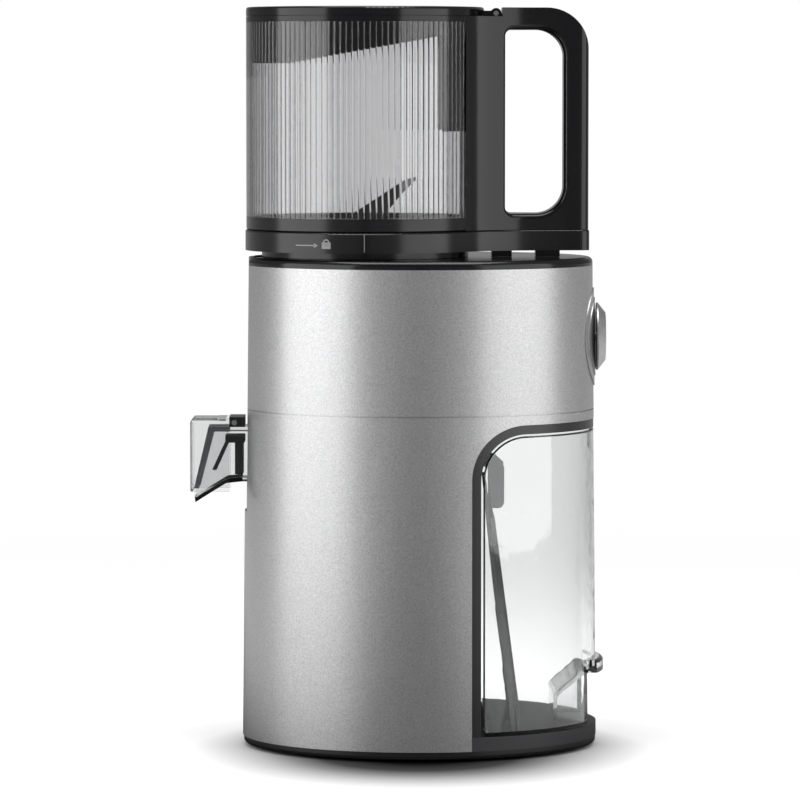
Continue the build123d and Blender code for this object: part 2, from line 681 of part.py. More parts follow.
# ---------------------------------------------------------------- selector
def knob_bezel():
    """Stepped ring that follows the curved back of the shell."""
    disc = rod_x(0, KNOB_Z, 0, FAR, BEZEL_RADIUS) & column(SEAM_Z, SHELL_TOP, -BEZEL_PROUD)
    disc -= column(SEAM_Z, SHELL_TOP, 0)
    neck = rod_x(0, KNOB_Z, 0, FAR, BEZEL_STEP_RADIUS - SNUG)
    neck &= column(SEAM_Z, SHELL_TOP, -BEZEL_STEP_PROUD)
    neck -= slab(-FAR, half_length(KNOB_Z) - BEZEL_THICK, FAR, 0, FAR)
    return disc + neck - rod_x(0, KNOB_Z, 0, FAR, SPINDLE_RADIUS + FIT)


def knob():
    """Dial with sloped flanks and a dished face, in one piece with its spindle."""
    under = half_length(KNOB_Z - BEZEL_STEP_RADIUS) + BEZEL_STEP_PROUD + FIT
    rim = under + KNOB_BASE
    height = KNOB_TIP - rim
    flank = Pos(rim + height / 2, 0, KNOB_Z) * Rot(0, 90, 0) * Cone(
        KNOB_RADIUS, KNOB_RIDGE_RADIUS, height)
    dish_radius = (KNOB_RIDGE_RADIUS ** 2 + KNOB_DISH ** 2) / (2 * KNOB_DISH)
    dish = Pos(KNOB_TIP - KNOB_DISH + dish_radius, 0, KNOB_Z) * Sphere(dish_radius)
    dial = rod_x(0, KNOB_Z, under, rim, KNOB_RADIUS) + flank - dish
    return dial + rod_x(0, KNOB_Z, half_length(KNOB_Z) - BEZEL_THICK - FIT, under, SPINDLE_RADIUS)


def rotary_switch():
    back = half_length(KNOB_Z) - BEZEL_THICK
    body = block(back - SWITCH_DEPTH, back, -SWITCH_SIZE / 2, SWITCH_SIZE / 2,
                 KNOB_Z - SWITCH_SIZE / 2, KNOB_Z + SWITCH_SIZE / 2)
    body = chamfer(body.edges().filter_by(Axis.X), SWITCH_SIZE / 10)
    rear = back - SWITCH_DEPTH
    for y in (-SWITCH_SIZE / 4, 0, SWITCH_SIZE / 4):
        body += block(rear - TAB_LENGTH, rear, y - TAB_WIDTH / 2, y + TAB_WIDTH / 2,
                      KNOB_Z - TAB_THICK / 2, KNOB_Z + TAB_THICK / 2)
    return body - rod_x(0, KNOB_Z, back - SPINDLE_DEPTH, FAR, SPINDLE_RADIUS + FIT)


def control_board():
    """Board that stands across the body behind the well, with its parts on it."""
    rear = half_length(KNOB_Z) - BEZEL_THICK - SWITCH_DEPTH - TAB_LENGTH - BOARD_SPACE
    face = rear - BOARD_THICK
    half, low = BOARD_WIDTH / 2, SEAM_Z + LIP_HEIGHT
    board = slab(face, rear, half, low, low + BOARD_HEIGHT)
    parts_z, heat_z = low + BOARD_HEIGHT / 4, low + BOARD_HEIGHT * 0.7
    for side, length in ((-1, CAPACITOR_LENGTH), (1, CAPACITOR_LENGTH / 2)):
        board += rod_x(side * half * 0.6, parts_z, face - length, face, BOARD_WIDTH / 8)
    board += slab(face - CAPACITOR_LENGTH / 2, face, half / 3, heat_z - half / 4, heat_z + half / 4)
    for y in (-half + BOARD_FOOT, half - BOARD_FOOT):
        board += block(face, rear, y - BOARD_FOOT / 2, y + BOARD_FOOT / 2, BAY_ROOF + SNUG, low)
    return board


def cord_gland():
    x, y = edge_point(GLAND_ANGLE, 0, GLAND_Z)
    gland = rod_y(x, GLAND_Z, y - GLAND_DEPTH, y + GLAND_PROUD, GLAND_RADIUS - SNUG)
    return gland - rod_y(x, GLAND_Z, 0, FAR, GLAND_BORE)


# ---------------------------------------------------------------- gears
def involute(angle):
    return tan(angle) - angle


def gear_outline(teeth):
    """Toothed outline with a tooth on +X, from the involute of the base circle."""
    pitch = MODULE * teeth / 2
    pressure = radians(PRESSURE_ANGLE)
    base = pitch * cos(pressure)
    root = pitch - DEDENDUM * MODULE
    tip = pitch + ADDENDUM * MODULE
    half_pitch = pi / (2 * teeth) - BACKLASH / (2 * pitch)

    def half_angle(radius):
        return half_pitch + involute(pressure) - involute(acos(min(1.0, base / radius)))

    flank = [root, max(base, root), pitch, tip]
    flank = flank[1:] if base <= root else flank
    points = []
    for i in range(teeth):
        centre = 2 * pi * i / teeth
        sides = [(r, -half_angle(r)) for r in flank] + [(r, half_angle(r)) for r in flank[::-1]]
        points += [(r * cos(centre + a), r * sin(centre + a)) for r, a in sides]
    return make_face(Polyline(*points, close=True))


def gear(teeth, z0, z1, y, turn):
    """Spur gear at a distance y beside the chamber axis, turned by a number of degrees."""
    return Pos(AXIS_X, y, z0) * Rot(0, 0, turn) * extrude(gear_outline(teeth), z1 - z0)


def case_outline(radius):
    return Pos(AXIS_X, CENTRE_DISTANCE / 2) * Rot(0, 0, 90) * SlotCenterToCenter(
        CENTRE_DISTANCE, 2 * radius)


def case_block(z0, z1, radius):
    return extrude(Pos(0, 0, z0) * case_outline(radius), z1 - z0)


def gearbox_case():
    case = case_block(CASE_BOTTOM, COVER_BOTTOM, CASE_RADIUS)
    case -= case_block(CASE_BOTTOM + CASE_FLOOR, FAR, CASE_RADIUS - CASE_WALL)
    case += drum(CASE_BOTTOM, CASE_BOTTOM + CASE_FLOOR, CAN_RADIUS)
    case += drum(CAN_TOP - MOTOR_BEARING_HEIGHT, CASE_BOTTOM, MOTOR_BEARING_RADIUS + CASE_WALL)
    case += post(AXIS_X, CENTRE_DISTANCE, CASE_BOTTOM, INPUT_GEAR_BOTTOM - FIT,
                 AXLE_RADIUS + CASE_WALL)
    case -= drum(0, CASE_BOTTOM, MOTOR_BEARING_RADIUS + SNUG)
    case -= drum(0, FAR, MOTOR_SHAFT_RADIUS + SHAFT_CLEAR)
    return case - post(AXIS_X, CENTRE_DISTANCE, CASE_BOTTOM + AXLE_SEAT, FAR, AXLE_RADIUS + SNUG)


def cover_screw_places():
    reach = CASE_RADIUS - CASE_WALL / 2
    return [(AXIS_X + s * reach, y) for s in (-1, 1) for y in (0, CENTRE_DISTANCE)]


def gearbox_cover():
    top = COVER_BOTTOM + COVER_THICK
    cover = case_block(COVER_BOTTOM, top, CASE_RADIUS)
    cover += drum(top, COVER_TOP, DRIVE_RADIUS + 2 * BEARING_WALL)
    cover -= drum(0, FAR, DRIVE_RADIUS + BEARING_WALL)
    cover += post(AXIS_X, CENTRE_DISTANCE, top, top + CASE_WALL, AXLE_RADIUS + CASE_WALL)
    cover -= post(AXIS_X, CENTRE_DISTANCE, 0, top + AXLE_SEAT, AXLE_RADIUS + SNUG)
    for x, y in cover_screw_places():
        cover += post(x, y, COVER_BOTTOM, top + COVER_PAD, BOSS_RADIUS)
        cover -= post(x, y, 0, FAR, SCREW_RADIUS + SNUG)
    return cover


def housing_screws():
    """Screws up into the lower shell's bosses, and down into the gearbox case."""
    seat = FOOT_HEIGHT + SCREW_HEAD_THICK
    screws = [post(x, y, seat, seat + SCREW_LENGTH, SCREW_RADIUS)
              + post(x, y, FOOT_HEIGHT, seat, SCREW_HEAD_RADIUS) for x, y in boss_places()]
    seat = COVER_BOTTOM + COVER_THICK + COVER_PAD
    screws += [post(x, y, COVER_BOTTOM, seat, SCREW_RADIUS)
               + post(x, y, seat, seat + SCREW_HEAD_THICK, SCREW_HEAD_RADIUS)
               for x, y in cover_screw_places()]
    return screws


def shaft_bearings():
    """Sleeve bearings: two in the cover's boss, two for the motor's shaft."""
    sleeves = [tube(z, z + BEARING_HEIGHT, DRIVE_RADIUS + BEARING_WALL - SNUG, DRIVE_RADIUS + SNUG)
               for z in (COVER_BOTTOM, COVER_TOP - BEARING_HEIGHT)]
    sleeves += [tube(z, z + MOTOR_BEARING_HEIGHT, MOTOR_BEARING_RADIUS, MOTOR_SHAFT_RADIUS + SNUG)
                for z in (END_CAP_BOTTOM + CASE_WALL, CAN_TOP - MOTOR_BEARING_HEIGHT)]
    return sleeves


def idler_axle():
    return post(AXIS_X, CENTRE_DISTANCE, CASE_BOTTOM + AXLE_SEAT,
                COVER_BOTTOM + COVER_THICK + AXLE_SEAT, AXLE_RADIUS)


def idler_gear():
    """Wheel and small pinion in one piece; a gap of the wheel meets the motor pinion."""
    half_tooth = 180 / WHEEL_TEETH
    cluster = gear(WHEEL_TEETH, INPUT_GEAR_BOTTOM, INPUT_GEAR_TOP, CENTRE_DISTANCE,
                   half_tooth - 90)
    cluster += gear(PINION_TEETH, INPUT_GEAR_TOP, OUTPUT_GEAR_TOP, CENTRE_DISTANCE, -90)
    return cluster - post(AXIS_X, CENTRE_DISTANCE, 0, FAR, AXLE_RADIUS + SNUG)


def output_gear():
    half_tooth = 180 / WHEEL_TEETH
    wheel = gear(WHEEL_TEETH, OUTPUT_GEAR_BOTTOM, OUTPUT_GEAR_TOP, 0, 90 + half_tooth)
    return wheel - drum(0, FAR, DRIVE_RADIUS)


def drive_shaft():
    """Round in its bearings, hexagonal where it carries the auger."""
    shoulder = WELL_FLOOR_TOP + SHAFT_SHOULDER
    shaft = drum(OUTPUT_GEAR_BOTTOM, shoulder, DRIVE_RADIUS)
    hexagon = extrude(Pos(AXIS_X, 0, shoulder) * RegularPolygon(
        HEX_FLATS / 2, 6, major_radius=False), HEX_LENGTH)
    return shaft + chamfer(hexagon.edges().group_by(Axis.Z)[-1], HEX_CHAMFER)


# ---------------------------------------------------------------- motor
def motor_can():
    can = drum(CAN_BOTTOM, CAN_TOP, CAN_RADIUS) - drum(0, CAN_TOP - CAN_WALL, CAN_RADIUS - CAN_WALL)
    return can - drum(0, FAR, MOTOR_BEARING_RADIUS + CASE_WALL + SNUG)


def motor_magnets():
    middle = (CORE_TOP + CORE_BOTTOM) / 2
    low, high = middle - MAGNET_HEIGHT / 2, middle + MAGNET_HEIGHT / 2
    outer = CAN_RADIUS - CAN_WALL - SNUG
    shell = sector(MAGNET_ARC / 2, low, high, outer)
    shell = around(MAGNET_ARC / 4, shell) + around(-MAGNET_ARC / 4, shell)
    shell -= drum(0, FAR, MAGNET_INNER)
    return [around(a, shell) for a in (90, 270)]


def motor_end_cap():
    cap = drum(END_CAP_BOTTOM, CAN_BOTTOM, CAN_RADIUS)
    seat = END_CAP_BOTTOM + CASE_WALL
    cap -= drum(seat, FAR, MOTOR_BEARING_RADIUS + SNUG)
    cap -= drum(0, FAR, MOTOR_SHAFT_RADIUS + SHAFT_CLEAR)
    middle = (CAN_RADIUS + MOTOR_BEARING_RADIUS) / 2
    for i in range(AIR_HOLES):
        angle = 360 * (i + 0.5) / AIR_HOLES
        cap -= around(angle, post(AXIS_X + middle, 0, 0, FAR, AIR_HOLE_RADIUS))
    return cap


def brush_level():
    return (COMMUTATOR_TOP + COMMUTATOR_BOTTOM) / 2


def brush_holders():
    """Two carbon brushes in their brass boxes, held on the end cap by a bracket."""
    low, high = brush_level() - BRUSH_HEIGHT / 2, brush_level() + BRUSH_HEIGHT / 2
    inner = AXIS_X + COMMUTATOR_RADIUS
    outer = AXIS_X + CAN_RADIUS - CAN_WALL - BRUSH_CLEAR
    brush = slab(inner - 1, outer, BRUSH_WIDTH / 2, low, high)
    brush += slab(inner + BRUSH_WIDTH, outer, BRUSH_WIDTH / 2 + BRUSH_BOX, CAN_BOTTOM,
                  high + BRUSH_BOX)
    brush -= drum(0, FAR, COMMUTATOR_RADIUS + FIT)
    return [around(a, brush) for a in (0, 180)]


def rotor_shaft():
    return drum(FAN_TOP - FAN_HEIGHT, INPUT_GEAR_TOP + 1, MOTOR_SHAFT_RADIUS)


def motor_pinion():
    pinion = gear(PINION_TEETH, INPUT_GEAR_BOTTOM, INPUT_GEAR_TOP, 0, 90)
    return pinion - drum(0, FAR, MOTOR_SHAFT_RADIUS)


def rotor_core():
    core = drum(CORE_BOTTOM, CORE_TOP, CORE_RADIUS) - drum(0, FAR, MOTOR_SHAFT_RADIUS)
    slot = block(AXIS_X + CORE_RADIUS - CORE_SLOT_DEPTH, AXIS_X + FAR, -CORE_SLOT_WIDTH / 2,
                 CORE_SLOT_WIDTH / 2, 0, FAR)
    for i in range(CORE_SLOTS):
        core -= around(360 * i / CORE_SLOTS, slot)
    return core


def rotor_windings():
    """End turns above and below the core."""
    outer = CORE_RADIUS - WINDING_INSET
    return [tube(z, z + WINDING_HEIGHT, outer, MOTOR_SHAFT_RADIUS)
            for z in (CORE_TOP, CORE_BOTTOM - WINDING_HEIGHT)]


def commutator():
    bars = tube(COMMUTATOR_BOTTOM, COMMUTATOR_TOP, COMMUTATOR_RADIUS, MOTOR_SHAFT_RADIUS)
    return bars + tube(COMMUTATOR_TOP, CORE_BOTTOM - WINDING_HEIGHT,
                       COMMUTATOR_RADIUS - WINDING_INSET, MOTOR_SHAFT_RADIUS)


def cooling_fan():
    low = FAN_TOP - FAN_HEIGHT
    fan = tube(low, FAN_TOP, 2 * MOTOR_SHAFT_RADIUS, MOTOR_SHAFT_RADIUS)
    fan += tube(FAN_TOP - FAN_BLADE, FAN_TOP, FAN_RADIUS, MOTOR_SHAFT_RADIUS)
    blade = slab(AXIS_X + 1.5 * MOTOR_SHAFT_RADIUS, AXIS_X + FAN_RADIUS, FAN_BLADE / 2, low, FAN_TOP)
    for i in range(FAN_BLADES):
        fan += around(360 * i / FAN_BLADES, blade)
    return fan


def motor_cushion():
    return tube(END_CAP_BOTTOM - CUSHION_HEIGHT, END_CAP_BOTTOM, TOWER_RADIUS,
                TOWER_RADIUS - TOWER_WALL)


# ---------------------------------------------------------------- juicing chamber
def chamber_drum():
    """Bowl with a shaft hub, a spout opening in front and a pulp outlet behind."""
    bowl = drum(DRUM_BOTTOM, COLLAR_BOTTOM, DRUM_RADIUS) - drum(DRUM_FLOOR_TOP, FAR, DRUM_BORE)
    foot = tube(WELL_FLOOR_TOP + FIT, DRUM_BOTTOM, DRUM_FOOT_RADIUS, DRUM_FOOT_RADIUS - DRUM_WALL)
    hub = drum(DRUM_BOTTOM, DRUM_FLOOR_TOP + HUB_HEIGHT, HUB_RADIUS)
    bowl += foot + hub
    rail = slab(AXIS_X - DRUM_RADIUS - RAIL_THICK, AXIS_X - DRUM_BORE - 1, RAIL_HALF_WIDTH,
                SPOUT_TOP + FIT, DECK_TOP - RAIL_THICK)
    bowl += rail - drum(0, FAR, DRUM_BORE + 1)
    bowl -= drum(0, FAR, HUB_BORE)
    bowl -= slab(-FAR, AXIS_X - STRAINER_RADIUS, SPOUT_HALF_WIDTH + SNUG, DRUM_FLOOR_TOP, SPOUT_TOP)
    return bowl - slab(AXIS_X + STRAINER_RADIUS, FAR, OUTLET_HALF_WIDTH, DRUM_FLOOR_TOP,
                       DRUM_FLOOR_TOP + OUTLET_HEIGHT)


def lug(angle, z, inner, outer):
    """One bayonet lug, centred on an angle."""
    return around(angle, sector(LUG_ARC, z, z + LUG_HEIGHT, outer) - drum(0, FAR, inner))


def lug_angles():
    return [180 + 360 * i / LUG_COUNT for i in range(LUG_COUNT)]


def collar_band(z0, z1):
    """Round under the hopper, with a tail that keeps a little outside the handle."""
    plan = Pos(AXIS_X, 0) * Circle(HOPPER_RADIUS + COLLAR_PROUD) + handle_plan(COLLAR_PROUD)
    return extrude(Pos(0, 0, z0) * plan, z1 - z0)


def tail_hollow(top):
    """The tail is open below, behind the round part."""
    hollow = extrude(handle_plan(COLLAR_PROUD - COLLAR_WALL), top)
    return hollow - drum(0, top, HOPPER_RADIUS)


def chamber_collar():
    """Wide band over the body: bayonet seat for the hopper, with a tail on two feet."""
    top = COLLAR_TOP - FIT
    band = collar_band(COLLAR_BOTTOM, top)
    band = fillet(band.edges().group_by(Axis.Z)[-1], COLLAR_ROUND)
    band -= tail_hollow(top - COLLAR_WALL)
    band += drum(DECK_TOP + FIT, COLLAR_BOTTOM, NECK_RADIUS)
    for front_in, back_in in FOOT_PLACES:
        band += slab(HANDLE_BACK - front_in, HANDLE_BACK - back_in, TAIL_FOOT_HALF_WIDTH,
                     DECK_TOP + FIT, top - COLLAR_WALL)
    floor = COLLAR_TOP - SPIGOT_DEPTH - FIT
    band -= drum(floor, FAR, SPIGOT_RADIUS + LUG_REACH + FIT)
    band -= drum(0, FAR, DRUM_BORE)
    band -= drum(0, COLLAR_BOTTOM, DRUM_RADIUS)
    for angle in lug_angles():
        band += lug(angle, top - LUG_HEIGHT, SPIGOT_RADIUS + FIT, SPIGOT_RADIUS + LUG_REACH + 2 * FIT)
    return band


def strainer():
    """Slotted basket round the auger, hung from a flange on the drum wall."""
    top = DRUM_FLOOR_TOP + FIT + STRAINER_HEIGHT
    basket = tube(DRUM_FLOOR_TOP + FIT, top, STRAINER_RADIUS, STRAINER_RADIUS - STRAINER_WALL)
    basket += tube(top - STRAINER_WALL, top, DRUM_BORE - FIT, STRAINER_RADIUS - STRAINER_WALL)
    low = DRUM_FLOOR_TOP + OUTLET_HEIGHT + STRAINER_WALL
    slot = slab(AXIS_X, FAR, STRAINER_SLOT_WIDTH / 2, low, low + STRAINER_SLOT_HEIGHT)
    for i in range(STRAINER_SLOTS):
        basket -= around(360 * (i + 0.5) / STRAINER_SLOTS, slot)
    return basket - slab(AXIS_X, FAR, OUTLET_HALF_WIDTH, 0, DRUM_FLOOR_TOP + OUTLET_HEIGHT)


def drum_seal():
    """Rubber ring that seals the chamber's foot on the well floor round the shaft."""
    inner = DRIVE_RADIUS + BEARING_WALL + FIT
    return tube(WELL_FLOOR_TOP + FIT, DRUM_BOTTOM, inner + DRUM_FOOT, inner)


def front_panel():
    """Cover strip that fills the slot over the spout and lifts out with the chamber."""
    outer = PANEL_RECESS
    strip = column(SLOT_BOTTOM + FIT, DECK_TOP - FIT, outer)
    strip -= column(0, FAR, outer + PANEL_THICK)
    strip &= slab(-FAR, AXIS_X, SLOT_HALF_WIDTH - FIT, 0, FAR)
    strip -= slab(-FAR, AXIS_X, SPOUT_HALF_WIDTH + SNUG, SPOUT_TOP - SPOUT_BELLY, SPOUT_TOP)
    top, bottom = DECK_TOP - 2 * PANEL_THICK, SPOUT_TOP + 2 * PANEL_THICK
    for i in range(PANEL_WEBS):
        z = bottom + (top - bottom) * i / (PANEL_WEBS - 1)
        web = slab(-FAR, AXIS_X - DRUM_RADIUS - RAIL_THICK, RAIL_HALF_WIDTH, z - PANEL_THICK / 2,
                   z + PANEL_THICK / 2)
        strip += web & column(0, FAR, outer + PANEL_THICK / 2)
    return strip


def spout_outline():
    """Side view: the roof and the slanted mouth, then the underside back to the drum."""
    back = AXIS_X - DRUM_BORE
    step = -half_length(SPOUT_TOP) - SPOUT_WALL
    low = SPOUT_TOP - SPOUT_BELLY
    mouth_low = SPOUT_TOP - SPOUT_MOUTH_HEIGHT
    roof = [(back, SPOUT_TOP), (SPOUT_FRONT, SPOUT_TOP), (SPOUT_TIP, mouth_low)]
    under = [(SPOUT_TIP + 1, mouth_low - SPOUT_LIP_DROP),
             (SPOUT_FRONT + 2 * SPOUT_WALL, mouth_low - FIT),
             (SPOUT_FRONT + SPOUT_BEND, low - 1), (step, low),
             (AXIS_X - WELL_RADIUS - 3 * SPOUT_WALL, low),
             (AXIS_X - WELL_RADIUS - 1, DRUM_BOTTOM), (back, DRUM_BOTTOM)]
    return roof, under


def spout_shell():
    """The whole channel from the drum to the mouth, open at both ends."""
    roof, under = spout_outline()
    back, mouth_low = roof[0][0], roof[2][1]
    front = SPOUT_TIP - SPOUT_WALL
    floor = [(x, z + SPOUT_WALL) for x, z in under]
    floor[0] = (front, mouth_low - SPOUT_LIP_DROP + SPOUT_WALL)
    floor[-1] = (back + 1, DRUM_BOTTOM + SPOUT_WALL)
    bore = side_plate([(back + 1, SPOUT_TOP - SPOUT_ROOF), (front, SPOUT_TOP - SPOUT_ROOF)] + floor,
                      SPOUT_HALF_WIDTH - SPOUT_WALL)
    shell = side_plate(roof + under, SPOUT_HALF_WIDTH) - bore
    return shell - drum(0, FAR, DRUM_RADIUS + FIT)


def mouth_band():
    """Region of the band that edges the roof and the slanted mouth."""
    roof, under = spout_outline()
    lean = (SPOUT_FRONT - SPOUT_TIP) / SPOUT_MOUTH_HEIGHT
    inner_top = SPOUT_FRONT + BAND_WIDTH
    inner_low = inner_top - lean * (SPOUT_TOP - under[1][1])
    rear = CAP_PIN_X - KNUCKLE_RADIUS
    points = [(rear, SPOUT_TOP + 1), (SPOUT_TIP - BAND_WIDTH, SPOUT_TOP + 1),
              (SPOUT_TIP - BAND_WIDTH, under[1][1] + 1), (inner_low, under[1][1] + 1),
              (inner_top, SPOUT_TOP - SPOUT_ROOF), (rear, SPOUT_TOP - SPOUT_ROOF)]
    return side_plate(points, SPOUT_HALF_WIDTH)


def trough_region():
    """Region of the sloping floor ahead of the body, down to the drip tip."""
    under = spout_outline()[1]
    ahead = under[:4]
    above = [(x, z + TROUGH_THICK) for x, z in ahead[::-1]]
    return side_plate(ahead + above, SPOUT_HALF_WIDTH)


def juice_spout():
    """Clear channel from the drum to a slanted mouth."""
    return spout_shell() - mouth_band() - trough_region()


def mouth_gasket():
    """Soft grey band along the roof and round the mouth, where the cap shuts."""
    return spout_shell() & mouth_band() - trough_region()


def drip_trough():
    """Smoked floor of the channel with the tip that the juice drips from."""
    return spout_shell() & trough_region()


def hinge_block():
    """Dark block on the spout's roof that carries the cap's pin."""
    block_shape = slab(CAP_PIN_X - KNUCKLE_RADIUS, -half_length(SPOUT_TOP) - FIT, SPOUT_HALF_WIDTH,
                       SPOUT_TOP, CAP_PIN_Z + KNUCKLE_RADIUS)
    return block_shape - rod_y(CAP_PIN_X, CAP_PIN_Z, -FAR, FAR, PIN_RADIUS + SNUG)


def spout_insert():
    """Dark flow guide held between the spout's side walls."""
    half = SPOUT_HALF_WIDTH - SPOUT_WALL - SNUG
    back = -half_length(SPOUT_TOP) - FIT
    top = SPOUT_TOP - SPOUT_ROOF - INSERT_DROP
    low = top - INSERT_BAR
    foot = top - INSERT_LENGTH
    insert = slab(back - INSERT_REACH, back, half, low, top)
    insert += slab(back - INSERT_POST - 1, back - 1, half, foot, top)
    lever = [(back - INSERT_REACH, low + 1), (back - INSERT_REACH + LEVER_THICK, low + 1),
             (back - INSERT_REACH - LEVER_LEAN + LEVER_THICK, foot + LEVER_THICK),
             (back - INSERT_REACH - LEVER_LEAN, foot + LEVER_THICK)]
    return insert + side_plate(lever, half)


def cap_pin():
    return rod_y(CAP_PIN_X, CAP_PIN_Z, -CAP_HALF_WIDTH, CAP_HALF_WIDTH, PIN_RADIUS)


def juice_cap():
    """Clear cover that swings up about its pin, open below and behind."""
    front, rear = -CAP_REACH, CAP_PIN_X - KNUCKLE_RADIUS
    shell = slab(front, rear, CAP_HALF_WIDTH, CAP_BOTTOM, CAP_TOP)
    shell = fillet(shell.edges().filter_by(Axis.Y).group_by(Axis.Z)[-1].sort_by(Axis.X)[0],
                   2 * CAP_WALL)
    shell = fillet(shell.edges().filter_by(Axis.Z).group_by(Axis.X)[0], CAP_WALL)
    shell -= slab(front + CAP_WALL, FAR, CAP_HALF_WIDTH - CAP_WALL - FIT / 2, -FAR,
                  CAP_TOP - CAP_WALL)
    corner = hypot(KNUCKLE_RADIUS, KNUCKLE_RADIUS) + 2 * FIT
    roof_cut = slab(CAP_PIN_X - corner, FAR, SPOUT_HALF_WIDTH + FIT, 0, FAR)
    eye = KNUCKLE_RADIUS - CAP_WALL / 2
    ears = rod_y(CAP_PIN_X, CAP_PIN_Z, -CAP_HALF_WIDTH, CAP_HALF_WIDTH, eye)
    ears += slab(CAP_PIN_X - 2 * corner, CAP_PIN_X, CAP_HALF_WIDTH, CAP_PIN_Z - eye, CAP_TOP)
    ears -= slab(-FAR, FAR, SPOUT_HALF_WIDTH + FIT, 0, FAR)
    shell = shell - roof_cut + ears
    return shell - rod_y(CAP_PIN_X, CAP_PIN_Z, -FAR, FAR, PIN_RADIUS + SNUG)


# ---------------------------------------------------------------- auger
def auger():
    """Screw with one helical flight on a tapering core, and a plain neck above."""
    flight_face = Pos(AUGER_RADIUS / 2, 0) * Rectangle(AUGER_RADIUS, FLIGHT_THICK)
    flight = Solid.extrude_linear_with_rotation(
        flight_face.faces()[0], center=(0, 0, 0), normal=(0, 0, AUGER_SCREW_HEIGHT),
        angle=360 * AUGER_TURNS)
    flight = Pos(AXIS_X, 0, AUGER_BOTTOM) * flight
    screw = cone(AUGER_BOTTOM, AUGER_SCREW_TOP, AUGER_CORE_FOOT, AUGER_CORE_TOP) + flight
    screw &= drum(AUGER_BOTTOM, AUGER_SCREW_TOP, AUGER_RADIUS - FIT)
    screw += cone(AUGER_SCREW_TOP, AUGER_TOP, AUGER_CORE_TOP, AUGER_NECK_TOP)
    low, high = socket_levels()
    screw -= drum(0, low, HUB_RADIUS + SHAFT_CLEAR)
    return screw - drum(0, high, SOCKET_RADIUS)


def socket_levels():
    return DRUM_FLOOR_TOP + HUB_HEIGHT + SHAFT_SHOULDER, WELL_FLOOR_TOP + HEX_LENGTH + SOCKET_WALL


def auger_socket():
    """Metal sleeve in the auger with the hexagonal hole."""
    low, high = socket_levels()
    hexagon = RegularPolygon(HEX_FLATS / 2 + FIT, 6, major_radius=False)
    hole = extrude(Pos(AXIS_X, 0, 0) * hexagon, high - SOCKET_WALL / 2)
    return drum(low, high, SOCKET_RADIUS) - hole


def cutting_wing():
    """Swept blade on the auger's neck that draws food down."""
    foot = AUGER_TOP
    tip_x, tip_z = AXIS_X + WING_REACH, COLLAR_TOP + WING_RISE
    front, heel = AXIS_X - WING_FRONT, AXIS_X + WING_HEEL
    brow = (tip_x - WING_BROW, tip_z - WING_TIP_THICK)
    outline = Polyline((heel, foot), (front, foot), (front + WING_TIP_THICK, WINDOW_BOTTOM), brow)
    outline += Line(brow, (tip_x, tip_z)) + Line((tip_x, tip_z), (tip_x, tip_z - WING_TIP_THICK))
    hollow = ((tip_x + heel) / 2 - WING_TIP_THICK, (tip_z + WINDOW_BOTTOM) / 2 - WING_TIP_THICK)
    outline += ThreePointArc((tip_x, tip_z - WING_TIP_THICK), hollow, (heel, WINDOW_BOTTOM))
    outline += Line((heel, WINDOW_BOTTOM), (heel, foot))
    return extrude(Plane.XZ.offset(-WING_THICK / 2) * make_face(outline), WING_THICK)


# ---------------------------------------------------------------- hopper
def hopper_base_ring():
    low, high = COLLAR_TOP, WINDOW_BOTTOM
    ring = tube(low, high, HOPPER_RADIUS, THROAT_RADIUS)
    ring = chamfer(ring.edges().group_by(Axis.Z)[0].sort_by(SortBy.LENGTH)[-1], 2 * FIT)
    ring += tube(low - SPIGOT_DEPTH, low, SPIGOT_RADIUS, SPIGOT_RADIUS - SPIGOT_WALL)
    for angle in lug_angles():
        ring += lug(angle, low - SPIGOT_DEPTH, SPIGOT_RADIUS - 1, SPIGOT_RADIUS + LUG_REACH)
    return ring


def hopper_cup():
    outer = HOPPER_RADIUS - SLEEVE_WALL - SNUG
    return tube(WINDOW_BOTTOM, WINDOW_TOP, outer, outer - CUP_WALL)


def ribbed_sleeve():
    """Translucent outer skin with fine upright flutes."""
    crest, valley = HOPPER_RADIUS, HOPPER_RADIUS - RIB_DEPTH
    count = 2 * RIB_COUNT
    points = [((crest if i % 2 else valley) * cos(2 * pi * i / count),
               (crest if i % 2 else valley) * sin(2 * pi * i / count)) for i in range(count)]
    fluted = extrude(Pos(AXIS_X, 0, WINDOW_BOTTOM) * make_face(Polyline(*points, close=True)),
                     WINDOW_HEIGHT)
    return fluted - drum(0, FAR, HOPPER_RADIUS - SLEEVE_WALL)


def hopper_top_ring():
    inner = HOPPER_RADIUS - SLEEVE_WALL - CUP_WALL - SNUG
    return tube(WINDOW_TOP, LID_BOTTOM - FIT, HOPPER_RADIUS, inner)


def feed_guard():
    """Skirt inside the hopper's mouth, slanted below, with a flap at the back."""
    outer = HOPPER_RADIUS - SLEEVE_WALL - CUP_WALL - 2 * SNUG
    top = LID_BOTTOM - FIT
    skirt = tube(LID_BOTTOM - GUARD_FLAP_DROP, top, outer, outer - GUARD_WALL)
    front_x = AXIS_X - HOPPER_RADIUS
    flat_end = AXIS_X - GUARD_FLAT
    back_x = AXIS_X + outer * cos(radians(GUARD_FLAP_HALF_ANGLE))
    low, high = LID_BOTTOM - GUARD_FRONT_DROP, LID_BOTTOM - GUARD_REAR_DROP
    below = side_plate([(front_x, low), (flat_end, low), (back_x, high), (back_x, 0),
                        (front_x, 0)], FAR)
    return skirt - below


